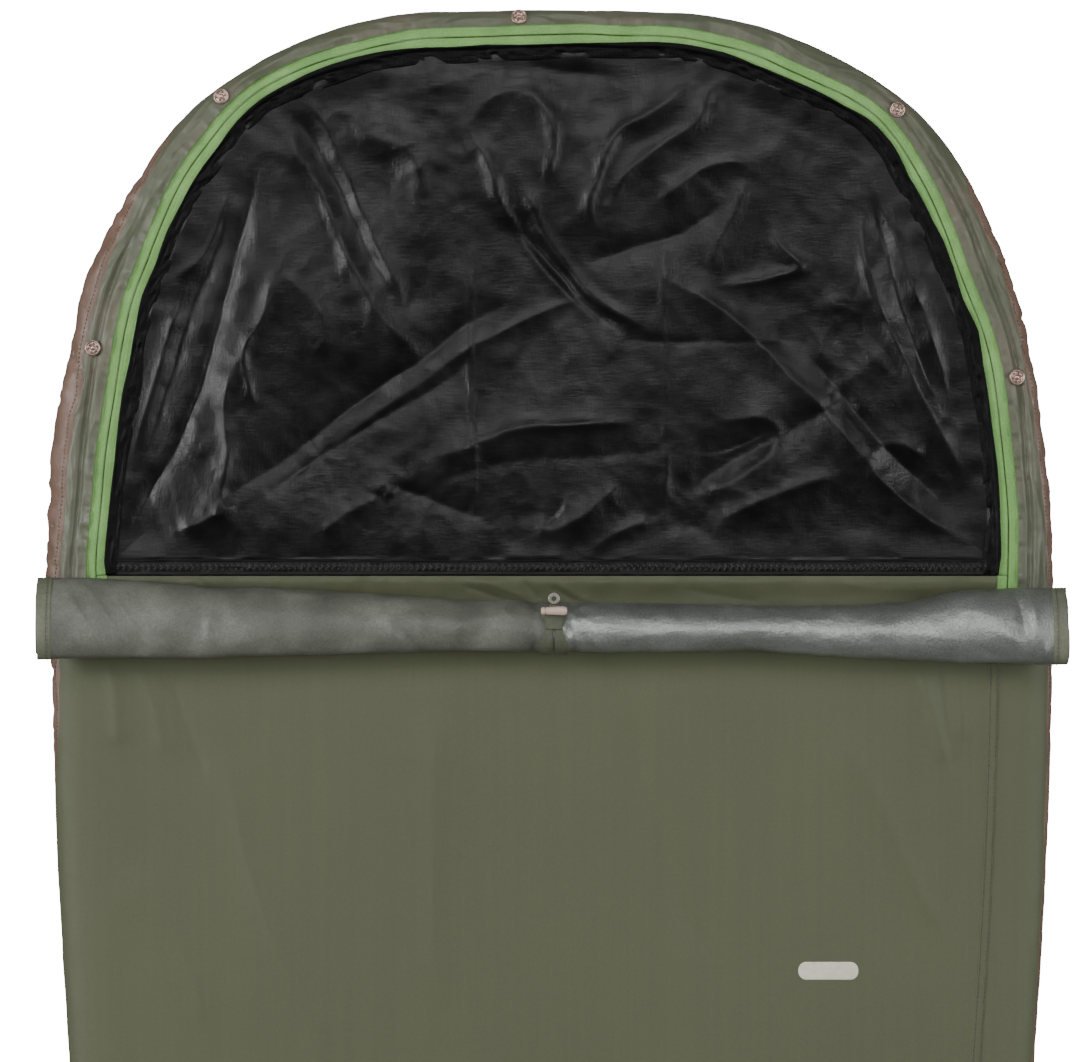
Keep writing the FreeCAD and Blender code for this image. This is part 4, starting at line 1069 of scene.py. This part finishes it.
def make_net():
    """The net panel, lying slack inside its binding."""
    rows, cols = 230, 380
    inset = ZIP_BAND_HALF + 0.0062
    hem_y = HEM_TOP_Y - 0.001
    arch = (ZIP_P - ZIP_N * inset)[ZIP_P[:, 1] > hem_y]
    arch[:, 1] = np.maximum(arch[:, 1], hem_y)
    s = travel(arch)
    at = np.linspace(0.0, s[-1], cols)
    ax, ay = (np.interp(at, s, arch[:, k]) for k in (0, 1))
    hx = ax[0] + (ax[-1] - ax[0]) * at / s[-1]
    v = np.linspace(0.0, 1.0, rows)[:, None]
    x, y = hx * (1 - v) + ax * v, hem_y * (1 - v) + ay * v
    index, from_zip = nearest(zip_tree, x, y)
    d_arch = np.maximum(from_zip - inset, 0.0)
    d_hem = np.maximum(y - hem_y, 0.0)
    gather = gathers(noise(ZIP_S[index] * 70.0, d_arch * 18.0, 86), d_arch, 0.022)
    gather = gather + gathers(noise(x * 60.0, d_hem * 18.0, 80), d_hem, 0.012)
    slack = smoothstep(0.0, 0.030, np.minimum(d_arch, d_hem)) * net_height(x, y)
    z = np.clip(NET_Z + slack + 0.0013 * gather, 0.0270, 0.0412)
    return one_grid("net_fabric", xyz(x, y, z), M_NET, flip=True)


# How much of the zip's inner tape the binding laps over, by distance along the zip (m, mm)
BINDING_COVER = [(0.00, 0.5), (0.05, 0.5), (0.07, 2.6), (0.10, 1.6), (0.15, 2.8), (0.18, 1.8), (0.24, 1.4),
                 (0.27, 5.2), (0.30, 2.8), (0.33, 5.2), (0.355, 4.4), (0.375, 2.2), (0.39, 1.8), (0.42, 0.8),
                 (0.45, 3.6), (0.48, 2.8), (0.51, 0.4), (0.54, 2.4), (0.57, 1.8), (0.60, 0.5), (0.63, 3.5),
                 (0.69, 3.3), (0.72, 2.8), (0.75, 0.8), (0.81, 0.4), (0.84, 1.8), (0.87, 0.4), (0.90, 0.8),
                 (0.93, 3.3), (0.96, 4.6), (0.99, 3.4), (1.02, 2.1), (1.08, 1.6), (1.11, 0.3), (1.17, 0.4),
                 (1.20, 2.2), (1.23, 1.2), (1.26, 2.0), (1.29, 0.3), (1.32, 0.3), (1.35, 2.6), (1.41, 0.3),
                 (1.44, 1.5), (1.50, 1.6), (1.51, 0.5), (1.60, 0.5)]


def make_arch_binding():
    """Black puckered binding between the net and the zip, lapping over the inner tape."""
    P, N, s = zip_run(*zip_place(HINGE_Y + 0.0003))
    s = s[:, None]
    reach = 0.0115 + 0.0026 * noise(s * 17.0, s * 0, 91) + 0.0006 * noise(s * 60.0, s * 0, 92)
    cover = table(s, BINDING_COVER) * MM
    v = np.linspace(0.0, 1.0, 17)[None, :]
    t = -(ZIP_BAND_HALF - 0.0005 - cover) - v * (reach + cover)
    swell = np.sin(math.pi * np.clip(v, 0.03, 0.97)) ** 0.6
    over_tape = smoothstep(-ZIP_BAND_HALF - 0.0022, -ZIP_BAND_HALF + 0.0002, t)
    pucker = ridged(s * 46.0 + 1.3 * v, v * 1.6, 93) - 0.4 + 0.5 * noise(s * 120.0, v * 3.0, 94)
    z = 0.0343 + 0.0010 * swell + 0.0019 * pucker * swell
    z = z * (1 - over_tape) + np.maximum(z, 0.0370 + 0.0002 * pucker) * over_tape
    points = xyz(*beside(P, N, t), z)
    arch, threads = Builder(), Builder()
    thick_grid(arch, points, TAPE_CLOTH)
    stitch_row(threads, points[:, 12] + (0.0, 0.0, 0.0001), 0.0024, 0.0014, 0.0005)
    return arch.build("arch_binding_cloth", M_ARCH), threads.build("arch_binding_stitches", M_ARCH_THREAD)


def make_hem_binding():
    """Black binding along the door's hem, with teeth pulled up by zigzag stitches."""
    u = np.linspace(-1.0, 1.0, 900)[None, :]
    v = np.linspace(0.0, 1.0, 16)[:, None]
    low = HINGE_Y + 0.0003
    y = low + v * (HEM_TOP_Y + 0.0004 - low) + 0.0006 * noise(u * 14.0, u * 0, 96) * (v - 0.2)
    half = np.interp(y, [HINGE_Y, ZIP_WIDEST_Y], [0.4004, ZIP_HALF_WIDTH])
    x = u * (half - ZIP_BAND_HALF - 0.0002)
    middle = np.exp(-((v - 0.52) / 0.20) ** 2)
    teeth = 0.5 + 0.5 * np.sin(x * 2 * math.pi / 0.0056 + 3.0 * noise(x * 30.0, v * 2.0, 97) + v * 2.2)
    teeth = teeth * (0.55 + 0.45 * noise(x * 16.0, v * 0.0 + 0.3, 98))
    rail = np.exp(-((v - 0.06) / 0.05) ** 2) + np.exp(-((v - 0.94) / 0.05) ** 2)
    z = 0.0342 + 0.0010 * rail + 0.0019 * middle * teeth + 0.0004 * noise(x * 90.0, v * 5.0, 99)
    points = xyz(x, y, z)
    hem, threads = Builder(), Builder()
    thick_grid(hem, points[::-1], TAPE_CLOTH)
    for row, lean in ((6, 0.9), (9, -0.9)):
        stitch_row(threads, points[row] + (0.0, 0.0, 0.0001), 0.0036, 0.0020, 0.0007, lean=lean)
    return hem.build("hem_binding_cloth", M_BIND), threads.build("hem_binding_stitches", M_BLACK_THREAD)


# ------------------------------------------------------------------ rolled flap

ROLL_NORTH = [(-470, 648), (-434, 648.5), (-389, 648), (-345, 645), (-301, 640), (-257, 641), (-213, 638),
              (-169, 636), (-125, 632), (-81, 630), (-37, 629), (0, 627), (50, 627), (95, 627), (139, 626),
              (183, 624.5), (227, 624.5), (271, 625), (315, 628), (359, 637.5), (403, 639.5), (470, 640)]
ROLL_SOUTH = [(-470, 578), (-434, 578.5), (-345, 579), (-301, 579), (-257, 580.5), (-213, 581.5),
              (-169, 583), (-125, 584), (-81, 585), (-37, 585), (0, 584), (50, 583.5), (139, 584.5),
              (183, 585), (227, 581.5), (271, 579), (315, 577), (359, 574.5), (403, 573.5), (470, 573)]
ROLL_FOLDS = [
    # height mm, middle x mm, middle quarter turn (0 north edge, 1 top, 2 south edge), half sizes, slant
    (3.4, -298, 0.95, 6, 0.55, 0.0),
    (-1.8, -287, 0.95, 6, 0.60, 0.0),
    (-1.2, -308, 0.95, 6, 0.60, 0.0),
    (3.2, -138, 1.25, 7, 0.42, 14.0),
    (-2.4, -126, 1.35, 8, 0.50, 14.0),
    (1.6, -116, 0.90, 5, 0.30, 10.0),
    (2.8, -80, 1.05, 7, 0.30, -22.0),
    (-3.0, -66, 1.30, 10, 0.40, -12.0),
    (2.0, -38, 0.75, 8, 0.5, 24.0),
    (-1.8, -28, 1.2, 7, 0.5, 24.0),
    (-2.8, 28, 1.35, 8, 0.55, 16.0),
    (2.2, 40, 1.50, 7, 0.35, 10.0),
    (2.8, 400, 1.20, 16, 0.30, 26.0),
    (-3.2, 382, 1.60, 18, 0.38, 30.0),
    (2.6, 420, 0.9, 6, 0.7, 8.0),
    (-2.0, 410, 0.8, 6, 0.6, 8.0),
    (2.4, 428, 1.5, 6, 0.4, -6.0),
    (0.9, -408, 1.0, 3, 0.9, 34.0),
    (0.9, -386, 1.0, 3, 0.9, 38.0),
    (0.9, -364, 1.1, 3, 0.9, 36.0),
    (-1.0, -396, 1.2, 8, 0.9, 34.0),
    (-1.0, -374, 1.2, 8, 0.9, 36.0),
    (0.7, -310, 1.1, 2.5, 1.2, 0.0),
    (0.8, -226, 0.6, 3, 0.35, -10.0),
    (1.2, -420, 1.5, 9, 0.35, -20.0),
]


def roll_size(x):
    """Middle line and half width of the roll along its length."""
    north = table(x / MM, ROLL_NORTH) * MM
    south = table(x / MM, ROLL_SOUTH) * MM
    return (north + south) / 2.0, (north - south) / 2.0


def roll_creases(x, quarter, turn):
    """How far the wound sheet stands out: listed creases, crumples, and the pinch at the tie."""
    out = np.zeros(np.broadcast(x, turn).shape)
    for height, cx, cq, wx, wq, slant in ROLL_FOLDS:
        q = quarter - cq
        dx = (x / MM - cx - slant * q) / wx
        out = out + height * MM * np.exp(-1.4 * (np.sqrt(dx ** 2 + (q / wq) ** 2 + 0.03) - 0.17))
    from_tie = np.abs(x - TIE_X)
    pinch = np.exp(-((from_tie - 0.0170) / 0.0045) ** 2)
    out = out - 0.0024 * pinch * (0.7 + 0.3 * np.cos(quarter * 4.0))
    crowd = np.exp(-(from_tie / 0.045) ** 2)
    out = out + 0.0011 * fbm(x * 24.0, quarter * 1.3, 101, 4) + crowd * 0.0016 * (
        ridged(x * 34.0, quarter * 0.9, 103) - 0.4)
    return out + 0.0010 * (ridged(x * 12.0, quarter * 1.1, 102) - 0.5)


def roll_surface(x, turn, lift=0.0):
    """Point of the wound sheet: turn counts whole turns from the outer end, under the roll, inwards."""
    middle, half = roll_size(x)
    angle = -math.pi / 2 - turn * 2.0 * math.pi
    high = 0.0195 + 0.10 * (half - 0.022) + 0.5 * ROLL_PITCH
    half = half + 0.5 * ROLL_PITCH
    middle = middle + 0.25 * ROLL_PITCH
    a = np.maximum(half - ROLL_PITCH * turn, 0.004) + lift
    c = np.maximum(high - ROLL_PITCH * turn, 0.0025) + lift
    side, up = np.cos(angle), np.sin(angle)
    power = 2.0 / 2.03
    y = middle + a * np.sign(side) * np.abs(side) ** power
    z = ROLL_Z + c * np.sign(up) * np.abs(up) ** power - ROLL_LEAN * (y - middle)
    # quarter turns, measured from the north edge over the top
    quarter = ((angle + 2 * math.pi * 20) % (2 * math.pi)) / (math.pi / 2)
    push = roll_creases(x, quarter, turn) * smoothstep(1.25, 0.9, turn) * smoothstep(-0.6, 0.2, up)
    return y + push * side, z + push * up


def make_roll():
    """The wound flap, its two facings and their stitches."""
    x = np.linspace(-ROLL_HALF_LENGTH, ROLL_HALF_LENGTH, 420)[:, None]
    turn = np.concatenate([np.linspace(0.0, 1.0, 110), np.linspace(1.0, ROLL_TURNS, 96)[1:]])[None, :]
    points = xyz(x, *roll_surface(x, turn))
    split = int(np.argmin(np.abs(x[:, 0] - TIE_X)))
    b = Builder()
    b.grid(points[:split + 1], flip=True)
    b.grid(points[split:], flip=True, mat=1)
    pieces = [b.build("roll_fabric", [M_ROLL, M_ROLL_SATIN])]

    seams = Builder()
    v = np.linspace(0.0, 1.0, 9)[:, None]
    turn = np.linspace(0.0, 2.0, 120)[None, :]
    for name, side in (("roll_facing_left", -1.0), ("roll_facing_right", 1.0)):
        reach = ROLL_END - 0.0010 + 0.0012 * noise(turn * 5.0, turn * 0 + side, 105)
        reach = reach - 0.003 * smoothstep(0.75, 0.98, turn % 1.0 if side > 0 else 1.0 - turn % 1.0)
        x = side * (ROLL_HALF_LENGTH - 0.0015 + v * (reach - ROLL_HALF_LENGTH + 0.0015))
        y, z = roll_surface(x, turn, 0.0005)
        grid = xyz(x, y, z + 0.0006 * noise(turn * 9.0, v * 2.0, 106))
        b = Builder()
        thick_grid(b, grid if side > 0 else grid[::-1], 0.0010)
        pieces.append(b.build(name, M_FACING))
        x = np.full(160, side * (ROLL_HALF_LENGTH + 0.0025))
        path = xyz(x, *roll_surface(x, np.linspace(0.02, 0.98, 160), 0.0012))
        stitch_row(seams, path, 0.0024, 0.0012, 0.0007, around=True)
    return pieces + [seams.build("roll_facing_stitches", M_DARK_THREAD)]


def make_root():
    """Short run of flap fabric from its seam on the lid up into the roll."""
    x = np.linspace(-ROLL_HALF_LENGTH, ROLL_HALF_LENGTH, 160)[None, :]
    v = np.linspace(0.0, 1.0, 60)[:, None]
    _, roll_z = roll_surface(x, np.zeros_like(x))
    z = ROOT_LOW_Z + (roll_z + 0.0012 - ROOT_LOW_Z) * smoothstep(0.0, ROOT_RISE, v)
    b = Builder()
    thick_grid(b, xyz(x, ROOT_Y + 0.022 * v, z + 0.0003 * noise(x * 22.0, v, 111))[::-1], 0.0006)
    return b.build("flap_root_run", M_FACING)


# ------------------------------------------------------------------ tie

def make_tie():
    """Webbing that comes round the roll in two legs, runs together and ends in a folded tab."""
    strap, rows = Builder(), Builder()
    # turn 0.25 is the south edge, 0.5 the top
    turns = np.linspace(0.13, 0.52, 56)
    leg_y, leg_z = roll_surface(np.full(56, TIE_X), turns, 0.0011)
    nearing = smoothstep(0.588, TIE_JOIN_Y, leg_y)[:, None]
    touching = smoothstep(0.600, TIE_JOIN_Y, leg_y)[:, None] * smoothstep(0.2, 0.35, turns)[:, None]
    v = np.linspace(0.0, 1.0, 9)[None, :]
    outer = TIE_HALF - 0.0050 * nearing * smoothstep(0.2, 0.3, turns)[:, None]
    inner = 0.0011 - 0.0007 * touching
    across = inner + (outer - inner) * v
    crown = 0.0004 * np.sin(math.pi * v) + 0.00012 * np.sin(across * 2 * math.pi / 0.0016)
    seen = slice(20, 48)
    for side in (-1.0, 1.0):
        grid = xyz(TIE_X + side * across, leg_y[:, None], leg_z[:, None] + crown)
        thick_grid(strap, grid if side > 0 else grid[:, ::-1], WEBBING)
        ys = np.linspace(0.6080, 0.6160, 12)
        xs = TIE_X + side * np.interp(ys, [TIE_JOIN_Y, 0.6168], [0.0058, 0.0100])
        stitch_row(rows, xyz(xs, ys, 0.0877), 0.0018, 0.0006, 0.0005)
        xs = TIE_X + side * (0.0105 - 0.0045 * nearing[seen, 0])
        stitch_row(rows, xyz(xs, leg_y[seen], leg_z[seen] + 0.0006), 0.0020, 0.0008, 0.0005)
    # tab: narrow at the waist, wide under the toggle, then a short tongue to the eye
    y = np.linspace(0.6045, 0.6300, 40)[:, None]
    half = np.interp(y, [0.6040, TIE_JOIN_Y, 0.6168, 0.6220, 0.6235, 0.6300],
                     [0.0068, 0.0072, 0.0118, 0.0112, 0.0040, 0.0028])
    u = np.linspace(-1.0, 1.0, 17)[None, :]
    x = TIE_X + half * u
    z = 0.0871 + ROLL_LEAN * np.maximum(0.610 - y, 0.0) - 0.0005 * smoothstep(0.618, 0.63, y)
    z = z + 0.0006 * (1 - u ** 2) + 0.0003 * noise(x * 300.0, y * 300.0, 121)
    thick_grid(strap, xyz(x, y, z)[::-1], 0.0014)
    return strap.build("tie_webbing", M_WEBBING), rows.build("tie_stitches", M_DARK_THREAD)


def make_anchor():
    """The tie's foot: flat on the lid, up beside the roll's root and under the roll."""
    anchor = Builder()
    x = TIE_X + TIE_HALF * np.linspace(-1.0, 1.0, 13)[None, :]
    y, z = roll_surface(np.full((20, 1), TIE_X), np.linspace(0.02, 0.11, 20)[:, None], 0.0016)
    thick_grid(anchor, xyz(x, y, z)[::-1], WEBBING)
    low = 0.0385
    thick_grid(anchor, xyz(x, np.linspace(0.6035, 0.6115, 8)[:, None], low), 0.0014)
    thick_grid(anchor, xyz(x, 0.6105, np.linspace(low, 0.0435, 8)[:, None]), WEBBING)
    return anchor.build("tie_anchor_webbing", M_WEBBING)


# ------------------------------------------------------------------ small hardware

# Turned outlines of a press stud, as (radius, height) in millimetres
STUD_RIM = [(5.8, -0.8), (7.0, -0.4), (7.05, 1.0), (6.8, 1.9), (6.2, 2.3), (5.6, 2.1), (5.2, 1.4), (5.0, 0.9)]
STUD_PLATE = [(5.0, 0.9), (4.4, 1.1), (3.2, 1.1), (2.4, 0.9)]
STUD_POST = [(2.4, 0.9), (2.1, 1.8), (1.7, 2.4), (1.0, 2.7), (0.0, 2.8)]
STUD_WINDOW = [(0.95, 0.0), (0.85, 0.12), (0.0, 0.08)]
STUD_RING = [(2.8, -1.7), (6.2, -1.7), (6.4, -2.0), (6.2, -2.4), (2.8, -2.4), (2.6, -2.0), (2.8, -1.7)]


def lathe(builder, profile, centre, tilt, segments=40, mat=0):
    """Turned shape from a list of (radius, height) in millimetres."""
    a = np.linspace(0.0, 2 * math.pi, segments, endpoint=False)[:, None]
    r, h = (np.array(profile) * MM).T
    points = xyz(r * np.cos(a), r * np.sin(a), h).reshape(-1, 3) @ tilt.T + centre
    builder.loose(points, grid_faces(segments, len(profile), wrap_rows=True), mat)


def make_studs():
    """Press studs: a rolled rim, a dished plate with six windows painted dark as shade, and a small post;
    rings below.
    """
    studs, rings = Builder(), Builder()
    h = 0.004
    for x, y in STUDS:
        x, y = x * MM, y * MM
        z, east, west, north, south = lid_height(np.array([x, x + h, x - h, x, x]),
                                                 np.array([y, y, y, y + h, y - h]))
        slope = Vector((0.6 * (west - east) / (2 * h), 0.6 * (south - north) / (2 * h), 1.0))
        tilt = np.array(Vector((0, 0, 1)).rotation_difference(slope.normalized()).to_matrix())
        centre = np.array([x, y, z + 0.0004])
        lathe(rings, STUD_RING, centre, tilt)
        for profile in (STUD_RIM, STUD_PLATE, STUD_POST):
            lathe(studs, profile, centre, tilt)
        # six dark discs on the plate: painted shade in the stud's windows
        for k in range(6):
            a = math.radians(60 * k + 15)
            spot = np.array([3.8 * math.cos(a), 3.8 * math.sin(a), 1.05]) * MM
            lathe(studs, STUD_WINDOW, centre + tilt @ spot, tilt, 12, 1)
    return studs.build("press_studs", [M_STUD, M_STUD_WINDOW_SHADE]), rings.build("stud_rings_below", M_STUD)


def make_seam_film():
    """Tape bonded over the edge seam on the inside of the bag."""
    width = EDGE_W[:, None]
    v = np.linspace(0.0, 1.0, 6)[None, :]
    inset = np.minimum(0.0145, width * 0.9) * (1 - v) + 0.0030 * v
    phi = np.arcsin((1.0 - inset / width) ** (EDGE_POWER / 2.0))
    d, z = edge_profile(phi, width)
    points = xyz(*beside(BAG_P, BAG_N, -(d + 0.0022 * np.sin(phi))), z - 0.0030 * np.cos(phi) - 0.0006)
    return one_grid("edge_seam_film", points, M_SEAM_TAPE, wrap_rows=True, flip=True)


def make_patch():
    """Plain rounded patch printed on the top panel."""
    half_l, half_w, corner = 0.027, 0.008, 0.0072
    cx, cy = 0.243, 0.303
    outline = []
    for qx, qy, turned in ((1, 1, 0), (-1, 1, 90), (-1, -1, 180), (1, -1, 270)):
        for k in range(9):
            a = math.radians(turned + 90 * k / 8)
            outline.append((qx * (half_l - corner) + corner * math.cos(a),
                            qy * (half_w - corner) + corner * math.sin(a)))
    rings = np.array([0.0, 0.25, 0.5, 0.75, 0.93, 1.0])
    lift = np.array([0.4, 0.4, 0.4, 0.4, 0.35, -0.2]) * MM
    outline = np.array(outline)
    x, y = cx + outline[:, 0:1] * rings, cy + outline[:, 1:2] * rings
    return one_grid("plain_patch", xyz(x, y, lid_height(x, y) + lift), M_PATCH, wrap_rows=True, flip=True)


# ------------------------------------------------------------------ build everything

rim = make_rim()
top, gusset = make_top()
seam_strip, seam_stitches = make_gusset_seam()
tub, tub_stitches = make_tub()
zip_outer, zip_inner, zip_tails, zip_threads, zip_door_threads = make_zip()
net = make_net()
arch_binding, arch_threads = make_arch_binding()
hem_binding, hem_threads = make_hem_binding()
roll, facing_left, facing_right, roll_stitches = make_roll()
root = make_root()
tie, tie_stitches = make_tie()
anchor = make_anchor()
studs, stud_backs = make_studs()
seam_film = make_seam_film()
patch = make_patch()

# piece, the body it rides on, its material slot and the CAD nodes it replaces
PIECES = [
    (rim, "bag", "shell_fabric", "hood_rim"),
    (top, "bag", "shell_fabric", "top_panel"),
    (gusset, "bag", "shell_fabric", "side_gusset_right"),
    (seam_strip, "bag", "shell_fabric", "gusset_seam"),
    (tub, "bag", "floor_fabric", "floor_panel", "floor_turn_up"),
    (zip_outer, "bag", "zip_tape", "zip_tape_outer"),
    (zip_tails, "bag", "zip_tape", "zip_tails"),
    (anchor, "bag", "webbing", "tie_anchor"),
    (studs, "bag", "stud_metal", "rim_press_studs"),
    (stud_backs, "bag", "stud_metal", "stud_backing_rings"),
    (seam_film, "bag", "seam_tape", "perimeter_seam_tape"),
    (patch, "bag", "reflective", "reflective_patch"),
    (zip_inner, "net_door", "zip_tape", "zip_tape_inner"),
    (net, "net_door", "net", "net_panel"),
    (arch_binding, "net_door", "net_binding", "net_arch_binding"),
    (hem_binding, "net_door", "net_binding", "net_hem_binding"),
    (roll, "storm_flap", "coated_fabric", "flap_roll"),
    (facing_left, "storm_flap", "facing", "flap_facing_left"),
    (facing_right, "storm_flap", "facing", "flap_facing_right"),
    (tie, "tie", "webbing", "tie_strap"),
]
for piece, body, slot, *nodes in PIECES:
    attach(piece, body)
    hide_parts(*nodes)
for piece, body in ((seam_stitches, "bag"), (tub_stitches, "bag"), (zip_threads, "bag"),
                    (zip_door_threads, "net_door"), (arch_threads, "net_door"), (hem_threads, "net_door"),
                    (roll_stitches, "storm_flap"), (tie_stitches, "tie")):
    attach(piece, body)
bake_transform(root)

CAD_LOOKS = {
    "zip_coil_outer": M_COIL, "zip_coil_inner": M_COIL, "zip_end_stops": M_COIL,
    "flap_press_sockets": M_STUD,
    "tie_eye": M_EYE, "tie_toggle": M_TOGGLE, "zip_slider_right": M_SLIDER, "zip_slider_left": M_SLIDER,
    "zip_pull_right": M_SLIDER, "zip_pull_left": M_SLIDER,
}
for name, material in CAD_LOOKS.items():
    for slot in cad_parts[name].material_slots:
        slot.link = "OBJECT"
        slot.material = material

# ------------------------------------------------------------------ stage, light, camera

WHITE = (1.0, 1.0, 1.0, 1.0)
FLOOR_HALF = 60
FLOOR_Z = -0.0006

floor_mat, shader, place = new_material("studio_floor")
tone = ramp(floor_mat, cloud(floor_mat, place, 3.0, 2.0), [(0.3, (0.88,) * 3), (0.7, (0.90,) * 3)])
feed(floor_mat, shader, {
    "Base Color": tone, "Roughness": 0.9, "Emission Color": WHITE, "Emission Strength": 18.0,
})
floor = make_mesh("studio_floor", [(x * FLOOR_HALF, y * FLOOR_HALF, FLOOR_Z)
                                   for x, y in ((-1, -1), (1, -1), (1, 1), (-1, 1))],
                  [(0, 1, 2, 3)], floor_mat, smooth=False)
floor.visible_diffuse = False
floor.visible_glossy = False


def softbox(name, place, aim, size, watts, glossy=True):
    """A rectangular light that looks from a place to an aim."""
    data = bpy.data.lights.new(name, "AREA")
    data.shape = "RECTANGLE"
    data.size, data.size_y = size
    data.energy = watts
    obj = bpy.data.objects.new(name, data)
    obj.location = place
    obj.rotation_euler = (Vector(aim) - Vector(place)).to_track_quat("-Z", "Y").to_euler()
    obj.visible_glossy = glossy
    bpy.context.scene.collection.objects.link(obj)


softbox("light_left", (-3.5, 1.3, 2.8), (-0.1, 0.6, 0.0), (1.5, 1.5), 165.0)
softbox("light_right", (3.5, 0.9, 2.8), (0.1, 0.6, 0.0), (1.5, 1.5), 100.0)
softbox("light_head", (-0.1, 3.3, 5.0), (0.0, 0.6, 0.0), (2.8, 2.0), 124.0)
softbox("light_top", (0.0, 0.2, 5.4), (0.0, 0.6, 0.0), (2.6, 1.5), 82.0, glossy=False)
softbox("light_foot", (-0.4, -2.4, 4.2), (0.0, 0.5, 0.0), (1.6, 1.2), 58.0, glossy=False)
for name, place in (("low_left", (-4.2, 0.2, 0.7)), ("low_right", (4.2, 0.2, 0.7)),
                    ("low_foot", (0.0, -5.0, 0.7)), ("low_head", (0.0, 5.0, 0.7))):
    softbox(name, place, (0.0, 0.0, 0.0), (2.4, 0.8), 38.0, glossy=False)

world = bpy.data.worlds.new("studio_world")
bpy.context.scene.world = world
world.use_nodes = True
world.node_tree.nodes["Background"].inputs["Color"].default_value = WHITE
world.node_tree.nodes["Background"].inputs["Strength"].default_value = 0.09

camera_data = bpy.data.cameras.new("camera")
camera_data.lens = 170.5
camera_data.sensor_width = 36.0
camera_data.clip_start = 0.1
camera_data.clip_end = 200.0
camera = bpy.data.objects.new("camera", camera_data)
camera.location = (-0.0106, 0.6898, 4.536)
bpy.context.scene.collection.objects.link(camera)
bpy.context.scene.camera = camera

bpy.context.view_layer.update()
